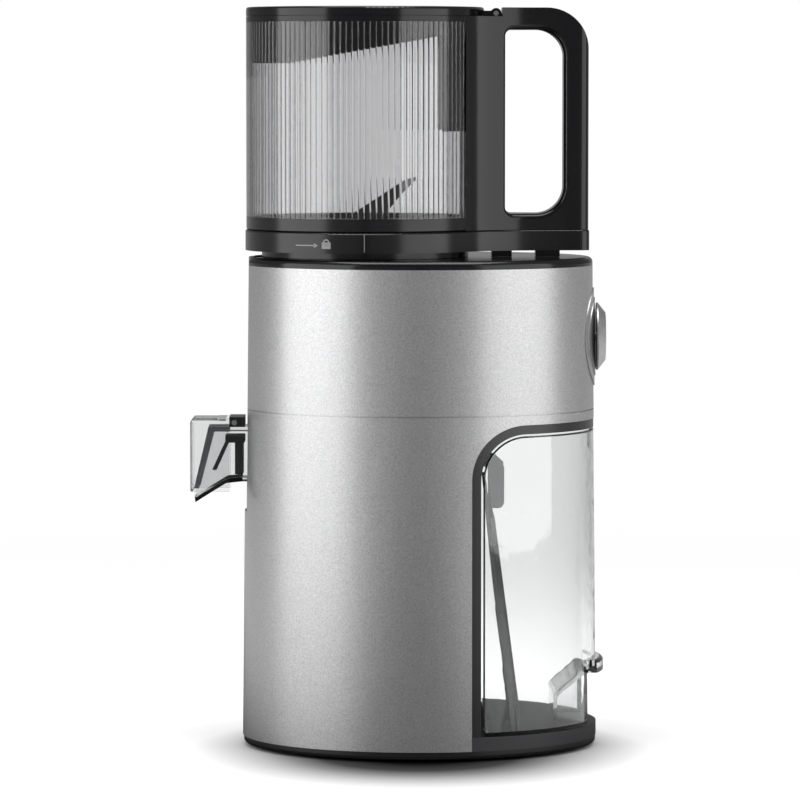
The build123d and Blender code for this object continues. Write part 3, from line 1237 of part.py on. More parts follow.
def handle_plan(grow=0.0):
    """Seen from above: the sides leave the hopper's wall and flare in to the grip."""
    half_grip = HANDLE_GRIP_WIDTH / 2 + grow
    root = radians(HANDLE_ROOT_ANGLE)
    root_x = AXIS_X + (HOPPER_RADIUS + grow) * cos(root)
    root_y = (HOPPER_RADIUS + grow) * sin(root)
    back = HANDLE_BACK + grow
    flare_x = HANDLE_BACK - HANDLE_FLARE_END
    side = Spline((root_x, root_y), (flare_x, half_grip),
                  tangents=[(sin(root), -cos(root)), (1, 0)])
    other = Spline((flare_x, -half_grip), (root_x, -root_y),
                   tangents=[(-1, 0), (-sin(root), -cos(root))])
    outline = side + Line((flare_x, half_grip), (back, half_grip))
    outline += Line((back, half_grip), (back, -half_grip))
    outline += Line((back, -half_grip), (flare_x, -half_grip)) + other
    outline += Line((root_x, -root_y), (root_x, root_y))
    face = make_face(outline)
    return fillet(face.vertices().group_by(Axis.X)[-1], HANDLE_BACK_ROUND)


def handle_opening():
    """What the fingers go through, rounder towards the grip than towards the hopper."""
    low, high = COLLAR_TOP + HANDLE_OPEN_BOTTOM, LID_TOP - HANDLE_OPEN_TOP
    grip = HANDLE_BACK - HANDLE_GRIP_DEPTH
    depth = grip - HANDLE_OPEN_FRONT
    opening = slab(HANDLE_OPEN_FRONT, grip, FAR, low, high)
    rails = opening.edges().filter_by(Axis.Y).group_by(Axis.X)[-1]
    opening = fillet(rails, depth * HANDLE_REAR_SHARE)
    rails = opening.edges().filter_by(Axis.Y).group_by(Axis.X)[0]
    return fillet(rails, depth * HANDLE_FRONT_SHARE)


def handle():
    """Upright loop moulded on the hopper's back, with the lid's hinge ears on its top."""
    bottom, top = COLLAR_TOP, LID_TOP - FIT
    loop = extrude(Pos(0, 0, bottom) * handle_plan(), top - bottom)
    side = slab(AXIS_X, HANDLE_BACK, FAR, bottom, top)
    head = side.edges().filter_by(Axis.Y).group_by(Axis.X)[-1].sort_by(Axis.Z)[-1]
    loop &= fillet(head, HANDLE_HEAD_ROUND)
    opening = handle_opening()
    loop -= opening
    inside = opening.bounding_box()
    rims = [e for e in loop.edges() if abs(e.center().Y) > HANDLE_BEVEL
            and inside.min.X - FIT < e.center().X and e.bounding_box().max.X < inside.max.X + FIT
            and inside.min.Z - FIT < e.center().Z < inside.max.Z + FIT]
    loop = fillet(rims, HANDLE_BEVEL)
    loop -= drum(0, FAR, HOPPER_RADIUS + SNUG)
    pin_x, pin_z = lid_pin_place()
    clear = KNUCKLE_RADIUS + 2 * FIT
    loop -= slab(AXIS_X, pin_x + clear, FAR, LID_BOTTOM - FIT, FAR)
    loop -= slab(AXIS_X, pin_x + clear, KNUCKLE_HALF_WIDTH + FIT, LID_BOTTOM - KNUCKLE_RADIUS, FAR)
    ears = rod_y(pin_x, pin_z, -KNUCKLE_HALF_WIDTH - EAR_THICK, KNUCKLE_HALF_WIDTH + EAR_THICK,
                 KNUCKLE_RADIUS)
    ears += slab(pin_x - KNUCKLE_RADIUS, pin_x + clear, KNUCKLE_HALF_WIDTH + EAR_THICK,
                 LID_BOTTOM - 2 * FIT, pin_z)
    loop += ears - slab(-FAR, FAR, KNUCKLE_HALF_WIDTH + FIT, WINDOW_TOP, FAR)
    return loop - rod_y(pin_x, pin_z, -FAR, FAR, PIN_RADIUS + SNUG)


def lid_pin_place():
    return AXIS_X + HINGE_BACK, LID_BOTTOM + PIN_RADIUS


def lid_pin():
    reach = KNUCKLE_HALF_WIDTH + EAR_THICK
    pin_x, pin_z = lid_pin_place()
    return rod_y(pin_x, pin_z, -reach, reach, PIN_RADIUS)


def lid():
    """Dished disc with a raised rim, an inner skirt and a hinge tongue."""
    disc = drum(LID_BOTTOM, LID_TOP, HOPPER_RADIUS)
    disc = fillet(disc.edges().group_by(Axis.Z)[-1], LID_ROUND)
    disc -= cone(LID_TOP - LID_DISH, LID_TOP + FIT, HOPPER_RADIUS - 2 * LID_RIM, HOPPER_RADIUS - LID_RIM)
    inner = seal_radius()
    disc += tube(LID_BOTTOM - LID_SKIRT, LID_BOTTOM, inner, inner - LID_DISH)
    pin_x, pin_z = lid_pin_place()
    tongue = slab(AXIS_X + HOPPER_RADIUS - LID_RIM, pin_x, KNUCKLE_HALF_WIDTH, LID_BOTTOM,
                  pin_z + KNUCKLE_RADIUS - SEAL_WIDTH)
    tongue += rod_y(pin_x, pin_z, -KNUCKLE_HALF_WIDTH, KNUCKLE_HALF_WIDTH, KNUCKLE_RADIUS)
    disc += tongue
    return disc - rod_y(pin_x, pin_z, -FAR, FAR, PIN_RADIUS + SNUG)


def seal_radius():
    return HOPPER_RADIUS - SLEEVE_WALL - CUP_WALL - GUARD_WALL - 2 * SEAL_WIDTH


def lid_seal():
    inner = seal_radius()
    top = LID_BOTTOM - SEAL_WIDTH
    return tube(top - SEAL_WIDTH, top, inner + SEAL_WIDTH, inner)


PIECES = [
    rubber_feet, base_plate, housing_screws, lower_shell, upper_shell, top_deck, chamber_well,
    shaft_seal, bay_liner, bay_floor, pulp_chute, pulp_bin, bin_front, knob_bezel, knob,
    rotary_switch, control_board, cord_gland, gearbox_case, gearbox_cover, shaft_bearings,
    idler_axle, idler_gear, output_gear, drive_shaft, motor_can, motor_magnets, motor_end_cap,
    brush_holders, rotor_shaft, motor_pinion, rotor_core, rotor_windings, commutator,
    cooling_fan, motor_cushion, chamber_drum, chamber_collar, strainer, drum_seal, front_panel,
    juice_spout, mouth_gasket, drip_trough, hinge_block, spout_insert, cap_pin, juice_cap, auger,
    auger_socket, cutting_wing, hopper_base_ring, hopper_cup, ribbed_sleeve, hopper_top_ring,
    feed_guard, handle, lid_pin, lid, lid_seal,
]

os.makedirs("parts", exist_ok=True)
for make in PIECES:
    made = make()
    solids = [s for item in (made if isinstance(made, list) else [made]) for s in item.solids()]
    placed = [Pos(SHIFT_X, 0, 0) * s for s in solids]
    shape = placed[0] if len(placed) == 1 else Compound(children=placed)
    export_step(shape, "parts/" + make.__name__ + ".step")
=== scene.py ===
from math import atan, atan2, cos, hypot, pi, sin

import bpy
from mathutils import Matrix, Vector


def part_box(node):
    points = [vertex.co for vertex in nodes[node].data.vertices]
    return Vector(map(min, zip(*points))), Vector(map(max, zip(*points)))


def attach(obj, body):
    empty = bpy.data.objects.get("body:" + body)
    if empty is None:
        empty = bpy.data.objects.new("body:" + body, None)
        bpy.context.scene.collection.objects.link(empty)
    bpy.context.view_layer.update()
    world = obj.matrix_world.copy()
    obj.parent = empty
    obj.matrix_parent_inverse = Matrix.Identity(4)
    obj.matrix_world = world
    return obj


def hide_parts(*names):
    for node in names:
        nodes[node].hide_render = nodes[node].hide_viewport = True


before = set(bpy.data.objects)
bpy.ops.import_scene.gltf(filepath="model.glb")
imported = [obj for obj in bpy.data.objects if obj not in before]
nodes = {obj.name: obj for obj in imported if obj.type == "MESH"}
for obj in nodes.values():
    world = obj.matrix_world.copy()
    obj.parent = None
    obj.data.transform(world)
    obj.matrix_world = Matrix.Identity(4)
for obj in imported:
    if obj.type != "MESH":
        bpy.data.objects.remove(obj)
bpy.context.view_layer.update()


# ---- Camera ----------------------------------------------------------------------------
# A long lens three metres from the side that has the spout on its left, at the
# height of the hopper's mouth, looking slightly down at the middle of the body.
CAMERA_X = 0.0012
CAMERA_HEIGHT = 0.422
CAMERA_DISTANCE = 3.05
AIM_HEIGHT = 0.2156
FRAME_WIDTH = 0.5
VIEW_REACH = 200.0         # how far off the floor is still drawn

camera = bpy.data.objects.new("camera", bpy.data.cameras.new("camera"))
bpy.context.scene.collection.objects.link(camera)
camera.location = (CAMERA_X, -CAMERA_DISTANCE, CAMERA_HEIGHT)
sight = Vector((0, CAMERA_DISTANCE, AIM_HEIGHT - CAMERA_HEIGHT))
camera.rotation_euler = sight.to_track_quat("-Z", "Y").to_euler()
camera.data.sensor_fit = "HORIZONTAL"
camera.data.angle = 2 * atan(FRAME_WIDTH / 2 / sight.length)
camera.data.clip_end = VIEW_REACH
bpy.context.scene.camera = camera


# ---- Studio floor, backdrop and lamps --------------------------------------------------
# White paper sweep under plain soft light: two wide softboxes beside the camera and a
# large one overhead. Metal mirrors a darker room, and clear pieces show its backdrop.
def linear(code):
    """Linear RGBA of an sRGB hex colour."""
    parts = [int(code[i:i + 2], 16) / 255 for i in (1, 3, 5)]
    return [c / 12.92 if c <= 0.04045 else ((c + 0.055) / 1.055) ** 2.4 for c in parts] + [1]


def add(tree, kind, inputs=(), stops=(), **settings):
    """Adds a node; inputs maps its sockets to values or to other nodes' sockets, and
    stops are a colour ramp's, each a position and a grey or hex colour."""
    node = tree.nodes.new("ShaderNode" + kind)
    for name, value in settings.items():
        setattr(node, name, value)
    for name, value in dict(inputs).items():
        if isinstance(value, bpy.types.NodeSocket):
            tree.links.new(value, node.inputs[name])
        else:
            node.inputs[name].default_value = value
    while stops and len(node.color_ramp.elements) < len(stops):
        node.color_ramp.elements.new(0.5)
    for number, (place, shade) in enumerate(stops):
        stop = node.color_ramp.elements[number]
        stop.position = place
        stop.color = linear(shade) if isinstance(shade, str) else (shade, shade, shade, 1)
    return node


def turn_of(tree, direction):
    """How far a direction turns, from 0 towards the camera to 1 straight away from it."""
    along = add(tree, "SeparateXYZ", {0: direction})
    turn = add(tree, "MapRange", {"Value": along.outputs["Y"], "From Min": -1, "From Max": 1})
    return turn.outputs[0]


# Shades round the room, each after the turn at which it lies.
WALLS = ((0.0, 0.15), (0.1, 0.17), (0.42, 0.46), (0.68, 0.24), (0.92, 0.14), (1.0, 0.34))
BACKDROP = ((0.0, 0.08), (0.9, 0.1), (0.98, 0.8), (0.993, 1.0))    # through clear pieces
CEILING_FROM, CEILING_TO = 0.03, 0.08     # rise of a sight line over which it darkens
CEILING_SHADE = 0.08
ROOM_LIGHT = 0.72
WHITE = (1, 1, 1, 1)

world = bpy.data.worlds.new("white_room")
bpy.context.scene.world = world
world.use_nodes = True
tree = world.node_tree
tree.nodes.clear()
sight_line = add(tree, "TexCoord").outputs["Generated"]
turn = turn_of(tree, sight_line)
walls = add(tree, "ValToRGB", {"Fac": turn}, stops=WALLS)
behind = add(tree, "ValToRGB", {"Fac": turn}, stops=BACKDROP)
rise = add(tree, "SeparateXYZ", {0: sight_line})
ceiling = add(tree, "MapRange", {"Value": rise.outputs["Z"], "From Min": CEILING_FROM,
                                 "From Max": CEILING_TO, "To Min": 1.0,
                                 "To Max": CEILING_SHADE})
under = add(tree, "MixRGB", {"Fac": 1.0, "Color1": behind.outputs["Color"],
                             "Color2": ceiling.outputs[0]}, blend_type="MULTIPLY")
ray = add(tree, "LightPath")
plain = add(tree, "MixRGB", {"Fac": ray.outputs["Is Glossy Ray"],
                             "Color1": (ROOM_LIGHT, ROOM_LIGHT, ROOM_LIGHT, 1),
                             "Color2": walls.outputs["Color"]})
through = add(tree, "MixRGB", {"Fac": ray.outputs["Is Transmission Ray"],
                               "Color1": plain.outputs[0], "Color2": under.outputs[0]})
light = add(tree, "MixRGB", {"Fac": ray.outputs["Is Camera Ray"],
                             "Color1": through.outputs[0], "Color2": WHITE})
glow = add(tree, "Background", {"Color": light.outputs[0], "Strength": 1.0})
add(tree, "OutputWorld", {"Surface": glow.outputs[0]})

FLOOR_SIZE = 400.0
FADE_FROM, FADE_TO = 0.3, 1.6      # distance over which the paper turns into the backdrop
# Painted shade and light: where reflections see it, the paper is painted dark in front of the
# machine and paler to the sides, where the softboxes light it.
SIDE_FROM, SIDE_TO = 0.1, 0.5      # distance over which the mirrored paper turns paler
PAPER_PAINTED_FOR_REFLECTIONS = ((0.0, "#2A2A2A"), (1.0, "#C8C8C8"))
PAPER = "#F4F4F4"
# Painted shadow, for the camera only: an oval pool with its middle, half axes and shades
# outwards.
PAINTED_SHADOW_X, PAINTED_SHADOW_Y = 0.0135, -0.045
PAINTED_SHADOW_LONG, PAINTED_SHADOW_DEEP = 0.146, 0.18
PAINTED_SHADOW_SHADES = ((0.28, 0.005), (0.44, 0.05), (0.55, 0.2), (0.65, 0.38), (0.77, 0.58), (1.0, 0.9))

bpy.ops.object.select_all(action="DESELECT")
bpy.ops.mesh.primitive_plane_add(size=FLOOR_SIZE)
floor = bpy.context.object
floor.name = "floor"
paper = bpy.data.materials.new("white_paper_sweep")
paper.use_nodes = True
tree = paper.node_tree
tree.nodes.clear()
ray = add(tree, "LightPath")
through = add(tree, "Math", {0: ray.outputs["Is Camera Ray"],
                             1: ray.outputs["Is Transmission Ray"]}, operation="MAXIMUM")
mirrored = add(tree, "Math", {0: ray.outputs["Is Glossy Ray"],
                              1: ray.outputs["Is Transmission Ray"]},
               operation="SUBTRACT", use_clamp=True)
spot = add(tree, "TexCoord").outputs["Object"]
away = add(tree, "VectorMath", {0: spot}, operation="LENGTH")
far = add(tree, "MapRange", {"Value": away.outputs["Value"], "From Min": FADE_FROM,
                             "From Max": FADE_TO}, interpolation_type="SMOOTHSTEP")
lift = add(tree, "Math", {0: through.outputs[0], 1: far.outputs[0]}, operation="MULTIPLY")
across = add(tree, "SeparateXYZ", {0: spot})
aside = add(tree, "Math", {0: across.outputs["X"]}, operation="ABSOLUTE")
sides = add(tree, "MapRange", {"Value": aside.outputs[0], "From Min": SIDE_FROM,
                               "From Max": SIDE_TO})
reflected_paper_painted_shade = add(tree, "ValToRGB", {"Fac": sides.outputs[0]}, stops=PAPER_PAINTED_FOR_REFLECTIONS)
# Reflections see the paper in these painted shades, the camera and lamps in its own colour.
tone = add(tree, "MixRGB", {"Fac": mirrored.outputs[0], "Color1": linear(PAPER),
                            "Color2": reflected_paper_painted_shade.outputs["Color"]})
# Painted shadow: for camera rays the paper's colour is darkened in an oval round the machine.
painted_shadow_oval = add(tree, "Mapping", {"Vector": spot,
                             "Location": (-PAINTED_SHADOW_X / PAINTED_SHADOW_LONG, -PAINTED_SHADOW_Y / PAINTED_SHADOW_DEEP, 0),
                             "Scale": (1 / PAINTED_SHADOW_LONG, 1 / PAINTED_SHADOW_DEEP, 1)})
edge = add(tree, "VectorMath", {0: painted_shadow_oval.outputs["Vector"]}, operation="LENGTH")
dark = add(tree, "ValToRGB", {"Fac": edge.outputs["Value"]}, stops=PAINTED_SHADOW_SHADES)
painted_shadow_to_camera = add(tree, "MixRGB", {"Fac": ray.outputs["Is Camera Ray"], "Color1": WHITE,
                           "Color2": dark.outputs["Color"]})
paper_with_painted_shade = add(tree, "MixRGB", {"Fac": 1.0, "Color1": tone.outputs[0],
                              "Color2": painted_shadow_to_camera.outputs[0]}, blend_type="MULTIPLY")
sheet = add(tree, "BsdfDiffuse", {"Color": paper_with_painted_shade.outputs[0]})
way = add(tree, "VectorMath", {0: spot}, operation="NORMALIZE")
turn = turn_of(tree, way.outputs["Vector"])
behind = add(tree, "ValToRGB", {"Fac": turn}, stops=BACKDROP)
white = add(tree, "MixRGB", {"Fac": ray.outputs["Is Camera Ray"],
                             "Color1": behind.outputs["Color"], "Color2": WHITE})
lit = add(tree, "Emission", {"Color": white.outputs[0], "Strength": 1.0})
both = add(tree, "MixShader", {0: lift.outputs[0], 1: sheet.outputs[0], 2: lit.outputs[0]})
add(tree, "OutputMaterial", {"Surface": both.outputs[0]})
floor.data.materials.append(paper)

bpy.context.scene.view_settings.view_transform = "Standard"

LAMP_REACH = 1.6
LAMP_HEIGHT = 0.48
OVERHEAD = (0, -0.2, 1.9)
MIDDLE = (0, 0, 0.27)      # what the lamps are turned to


def beside(degrees):
    """A lamp's place this far round from the camera's side, positive to the right."""
    turn = degrees * pi / 180
    return LAMP_REACH * sin(turn), -LAMP_REACH * cos(turn), LAMP_HEIGHT


def softbox(name, place, width, height, power):
    """A rectangular lamp that faces the middle of the machine."""
    lamp = bpy.data.objects.new(name, bpy.data.lights.new(name, "AREA"))
    bpy.context.scene.collection.objects.link(lamp)
    lamp.data.shape = "RECTANGLE"
    lamp.data.size = width
    lamp.data.size_y = height
    lamp.data.energy = power
    lamp.location = place
    lamp.rotation_euler = (Vector(MIDDLE) - Vector(place)).to_track_quat("-Z", "Y").to_euler()


softbox("left_softbox", beside(-64), width=1.63, height=1.4, power=18.5)
softbox("right_softbox", beside(60), width=1.56, height=1.4, power=13.5)
softbox("top_softbox", OVERHEAD, width=1.6, height=1.2, power=30)


# ---- Shells, selector and front panel --------------------------------------------------
# Shells, selector and bezel are sprayed with a metallic base coat under a satin clear
# coat, and the panel in the front slot with a darker one. The flakes lie at slightly
# different angles, which gives the fine sparkle.
FLAKE = 0.0004             # drawn about four times as coarse as real flakes, to show
CLOUD = 0.35               # patches of flakes that lie alike are about three flakes wide
FLAKE_TILT = 0.12          # strength of the relief
FLAKE_GLOSS = 0.05         # spread of the roughness from flake to flake


def start(name, **shader):
    """A new material: its node tree, its shader and its Object coordinates."""
    material = bpy.data.materials.new(name)
    material.use_nodes = True
    tree = material.node_tree
    tree.nodes.clear()
    surface = add(tree, "BsdfPrincipled", {
        key.replace("_", " "): value for key, value in shader.items()})
    add(tree, "OutputMaterial", {"Surface": surface.outputs[0]})
    place = add(tree, "TexCoord").outputs["Object"]
    return material, tree, surface, place


def drive(tree, surface, **sockets):
    """Links outputs to the shader's sockets."""
    for key, value in sockets.items():
        tree.links.new(value, surface.inputs[key.replace("_", " ")])


def dress(material, *names):
    """Gives carried-over CAD nodes their finish."""
    for name in names:
        for slot in nodes[name].material_slots:
            slot.material = material


def metallic_paint(name, dark, pale, rough):
    """A lacquer whose flakes run from a dark to a pale tone."""
    material, tree, surface, place = start(
        name, Metallic=0.85, Coat_Weight=0.25, Coat_Roughness=0.18)
    grit = add(tree, "TexVoronoi", {"Vector": place, "Scale": 1 / FLAKE})
    cloud = add(tree, "TexNoise", {"Vector": place, "Scale": CLOUD / FLAKE, "Detail": 2})
    mixed = add(tree, "MixRGB", {"Fac": 0.5, "Color1": grit.outputs["Color"],
                                 "Color2": cloud.outputs["Color"]})
    tone = add(tree, "RGBToBW", {"Color": mixed.outputs[0]})
    colour = add(tree, "ValToRGB", {"Fac": tone.outputs[0]}, stops=((0.25, dark), (0.75, pale)))
    gloss = add(tree, "MapRange", {"Value": tone.outputs[0], "To Min": rough - FLAKE_GLOSS,
                                   "To Max": rough + FLAKE_GLOSS})
    bump = add(tree, "Bump", {"Height": tone.outputs[0], "Strength": FLAKE_TILT,
                              "Distance": FLAKE / 4})
    drive(tree, surface, Base_Color=colour.outputs["Color"], Roughness=gloss.outputs[0],
          Normal=bump.outputs["Normal"])
    return material


silver = metallic_paint("silver_metallic_lacquer", "#969697", "#BDBDBE", 0.36)
grey = metallic_paint("grey_metallic_lacquer", "#555557", "#767678", 0.34)
dress(silver, "lower_shell", "upper_shell", "knob_bezel", "knob")
dress(grey, "front_panel")


# ---- Black mouldings -------------------------------------------------------------------
# Deck, handle, lid and the hopper's top ring are black ABS from a polished mould. Base,
# well, liner and guard come from spark-eroded moulds, whose fine grain dulls them.
GRAIN_STRENGTH = 0.35      # of the relief
SHINE_PATCH = 22.0         # per metre: patches of slightly different gloss, 45 mm wide
SHINE_LOW, SHINE_HIGH = 0.8, 1.25                # shares of the roughness in those patches


def moulded(name, shade, rough, grain, height, **shader):
    """Moulded plastic or rubber with a roughness and a grain of this width and height."""
    material, tree, surface, place = start(name, Base_Color=linear(shade), **shader)
    texture = add(tree, "TexNoise", {"Vector": place, "Scale": 1 / grain, "Detail": 4})
    wear = add(tree, "TexNoise", {"Vector": place, "Scale": SHINE_PATCH, "Detail": 3})
    gloss = add(tree, "MapRange", {"Value": wear.outputs[0], "To Min": rough * SHINE_LOW,
                                   "To Max": rough * SHINE_HIGH})
    bump = add(tree, "Bump", {"Height": texture.outputs[0], "Strength": GRAIN_STRENGTH,
                              "Distance": height})
    drive(tree, surface, Roughness=gloss.outputs[0], Normal=bump.outputs["Normal"])
    return material


gloss_black = moulded("polished_black_abs", "#0B0B0D", 0.14, 0.004, 0.00002, IOR=1.53,
                      Specular_IOR_Level=0.32)
satin_black = moulded("spark_grained_black_abs", "#111113", 0.3, 0.0006, 0.00004, IOR=1.53)
matt_black = moulded("matt_black_abs", "#262628", 0.4, 0.0008, 0.00004, IOR=1.53,
                     Specular_IOR_Level=0.35)
dress(gloss_black, "top_deck", "handle", "lid", "hopper_top_ring")
dress(satin_black, "base_plate", "chamber_well", "bay_liner", "rotary_switch",
      "cooling_fan", "feed_guard", "hinge_block")
dress(matt_black, "bay_floor")


# ---- Collar and hopper ring ------------------------------------------------------------
# The collar tops the juicing chamber, and the hopper's ring turns on it to lock. Both are
# ABS a shade off black with a very fine grain, which spreads the light into soft bands.
dark_grey = moulded("grained_dark_grey_abs", "#0E0E10", 0.2, 0.0005, 0.00002, IOR=1.53,
                    Specular_IOR_Level=0.36)
dress(dark_grey, "chamber_collar", "hopper_base_ring")


# ---- Marks on the collar ---------------------------------------------------------------
# An arrow towards a closed padlock and an upright line by the hopper's seam, pad-printed
# on the collar in pale grey ink.
INK = 0.00004              # thickness of the print
PRINT_GAP = 0.001          # the marks are cut out this far before the collar, then laid on
PRINT_CUTS = 12            # each side of a mark is cut this often, to follow the collar
LOCK_X, LOCK_Z = -0.0438, 0.3146
LOCK_WIDTH, LOCK_HEIGHT = 0.0054, 0.0040
SHACKLE_RADIUS = 0.0019
SHACKLE_BORE = 0.62        # share of the shackle's radius that is open
SHACKLE_SIDES = 24
ARROW_START, ARROW_END = -0.0625, -0.0505
ARROW_THICK = 0.0007
ARROW_HEAD = 0.0017
SEAM_LINE, SEAM_LENGTH = 0.0004, 0.0118
SEAM_RISE = 0.0015         # of its middle above the collar's


def drop_selection():
    """Leaves edit mode with nothing selected."""
    if bpy.context.mode != "OBJECT":
        bpy.ops.object.mode_set(mode="OBJECT")
    bpy.ops.object.select_all(action="DESELECT")


def upright_patch(x, z, width, height):
    """A flat upright patch in front of the collar's side."""
    bpy.ops.mesh.primitive_plane_add(size=1, location=(x, front_y, z), rotation=(pi / 2, 0, 0))
    patch = bpy.context.object
    patch.scale = (width, height, 1)
    return patch


collar_low, collar_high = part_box("chamber_collar")
sleeve_low, sleeve_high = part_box("ribbed_sleeve")
front_y = collar_low.y - PRINT_GAP
seam_x = sleeve_low.x / 2 + sleeve_high.x / 2
seam_z = (collar_low.z + collar_high.z) / 2 + SEAM_RISE
drop_selection()
marks = [upright_patch(LOCK_X, LOCK_Z, LOCK_WIDTH, LOCK_HEIGHT),
         upright_patch((ARROW_START + ARROW_END) / 2, LOCK_Z, ARROW_END - ARROW_START,
                       ARROW_THICK),
         upright_patch(seam_x, seam_z, SEAM_LINE, SEAM_LENGTH)]
bpy.ops.mesh.primitive_circle_add(vertices=3, radius=ARROW_HEAD, fill_type="NGON",
                                  location=(ARROW_END, front_y, LOCK_Z),
                                  rotation=(pi / 2, pi / 2, 0))
marks.append(bpy.context.object)
bpy.ops.mesh.primitive_circle_add(vertices=SHACKLE_SIDES, radius=SHACKLE_RADIUS,
                                  fill_type="NOTHING", rotation=(pi / 2, 0, 0),
                                  location=(LOCK_X, front_y, LOCK_Z + LOCK_HEIGHT / 2))
shackle = bpy.context.object
bpy.ops.object.mode_set(mode="EDIT")
bpy.ops.mesh.select_all(action="SELECT")
bpy.ops.mesh.extrude_region_move()
bpy.ops.transform.resize(value=(SHACKLE_BORE, SHACKLE_BORE, SHACKLE_BORE))
bpy.ops.object.mode_set(mode="OBJECT")
marks.append(shackle)
drop_selection()
for mark in marks:
    mark.select_set(True)
print_marks = marks[0]
bpy.context.view_layer.objects.active = print_marks
print_marks.name = "collar_marks"
bpy.ops.object.join()
bpy.ops.object.transform_apply(location=True, rotation=True, scale=True)
bpy.ops.object.mode_set(mode="EDIT")
bpy.ops.mesh.select_all(action="SELECT")
bpy.ops.mesh.subdivide(number_cuts=PRINT_CUTS)
bpy.ops.object.mode_set(mode="OBJECT")
wrap = print_marks.modifiers.new("wrap", "SHRINKWRAP")
wrap.target = nodes["chamber_collar"]
wrap.wrap_method = "PROJECT"
wrap.use_project_y = True
wrap.use_negative_direction = True
wrap.use_positive_direction = True
wrap.offset = INK
bpy.ops.object.modifier_apply(modifier="wrap")
ink = moulded("pad_printed_grey_ink", "#747476", 0.5, 0.0003, 0.00001)
print_marks.data.materials.clear()
print_marks.data.materials.append(ink)
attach(print_marks, "chamber")


# ---- Clear and smoked pieces -----------------------------------------------------------
# Copolyester injected in polished moulds, clear for the bin, spout and cap, and smoked
# for the chamber and the spout's floor. The dye darkens it where one looks along a wall.
DYE = "#202020"            # a neutral grey
HAZE_PATCH = 30.0          # per metre: patches of slightly different gloss, 33 mm wide
HAZE_LOW, HAZE_HIGH = 0.5, 1.5                   # shares of the roughness in those patches


def clear_plastic(name, shade, rough, dye, shine=0.5):
    """Clear copolyester; dye is how fast its depth darkens it, and shine its mirroring."""
    material, tree, surface, place = start(
        name, Base_Color=linear(shade), Transmission_Weight=1.0, IOR=1.55,
        Specular_IOR_Level=shine)
    haze = add(tree, "TexNoise", {"Vector": place, "Scale": HAZE_PATCH, "Detail": 3})
    gloss = add(tree, "MapRange", {"Value": haze.outputs[0], "To Min": rough * HAZE_LOW,
                                   "To Max": rough * HAZE_HIGH})
    drive(tree, surface, Roughness=gloss.outputs[0])
    tint = add(tree, "VolumeAbsorption", {"Color": linear(DYE), "Density": dye})
    tree.links.new(tint.outputs[0], tree.nodes["Material Output"].inputs["Volume"])
    return material


clear = clear_plastic("clear_copolyester", "#F7F8F8", 0.02, 12.0, 0.2)
smoke = clear_plastic("smoked_copolyester", "#8F8F92", 0.03, 60.0)
dark_smoke = clear_plastic("dark_smoked_copolyester", "#2A2A2E", 0.04, 200.0)
dress(clear, "pulp_bin", "bin_front", "juice_spout", "juice_cap")
dress(smoke, "chamber_drum")
dress(dark_smoke, "drip_trough")


# ---- Hopper window ---------------------------------------------------------------------
# The hopper's wall is one lightly smoked copolyester tube. Its mould gives it flat upright
# ribs with a narrow groove between each two, and a polished bore.
FLUTES = 124
STEPS = 10                 # flat strips from groove to groove
GROOVE_DEPTH = 0.00024
BORE_WALL = 0.0022         # wall of the cup behind the sleeve
NEAR = 0.00002             # points nearer than this are one
SOFT_ANGLE = pi / 5        # flatter edges are shaded smooth


def select(piece, kind, test):
    """In edit mode, selects only the vertices, edges or faces whose middle passes a test."""
    bpy.ops.object.mode_set(mode="EDIT")
    bpy.ops.mesh.select_mode(type=kind)
    bpy.ops.mesh.select_all(action="DESELECT")
    bpy.ops.object.mode_set(mode="OBJECT")
    mesh = piece.data
    parts = {"VERT": mesh.vertices, "EDGE": mesh.edges, "FACE": mesh.polygons}[kind]
    for part in parts:
        spot = part.co if kind == "VERT" else sum(
            (mesh.vertices[i].co for i in part.vertices), Vector()) / len(part.vertices)
        part.select = test(spot)
    bpy.ops.object.mode_set(mode="EDIT")


cup_low, cup_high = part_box("hopper_cup")
middle = (sleeve_low + sleeve_high) / 2
radius = (sleeve_high.x - sleeve_low.x) / 2
bore = (cup_high.x - cup_low.x) / 2 - BORE_WALL
height = sleeve_high.z - sleeve_low.z
drop_selection()
bpy.ops.mesh.primitive_cylinder_add(vertices=FLUTES * STEPS, radius=radius, depth=height,
                                    end_fill_type="NOTHING", location=middle)
window = bpy.context.object
window.name = "fluted_window"
bpy.ops.object.transform_apply(location=True)
select(window, "EDGE", lambda spot: spot.z > sleeve_high.z - NEAR)
bpy.ops.mesh.extrude_region_move()
bpy.ops.transform.resize(value=(bore / radius, bore / radius, 1))
bpy.ops.mesh.extrude_region_move(TRANSFORM_OT_translate={"value": (0, 0, -height)})
bpy.ops.mesh.extrude_region_move()
bpy.ops.transform.resize(value=(radius / bore, radius / bore, 1))
bpy.ops.mesh.select_all(action="SELECT")
bpy.ops.mesh.remove_doubles(threshold=NEAR)
bpy.ops.mesh.normals_make_consistent(inside=False)


def in_groove(spot):
    """True for the points at the bottom of a groove."""
    out = spot - middle
    turn = atan2(out.y, out.x) / (2 * pi) * FLUTES * STEPS
    return hypot(out.x, out.y) > (radius + bore) / 2 and round(turn) % STEPS == 0


select(window, "VERT", in_groove)
inward = 1 - GROOVE_DEPTH / radius
bpy.ops.transform.resize(value=(inward, inward, 1))
bpy.ops.object.mode_set(mode="OBJECT")
bpy.ops.object.shade_smooth_by_angle(angle=SOFT_ANGLE)
fluted = clear_plastic("fluted_smoked_copolyester", "#F2F2F3", 0.02, 55.0, 0.12)
window.data.materials.append(fluted)
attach(window, "hopper")
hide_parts("ribbed_sleeve", "hopper_cup")


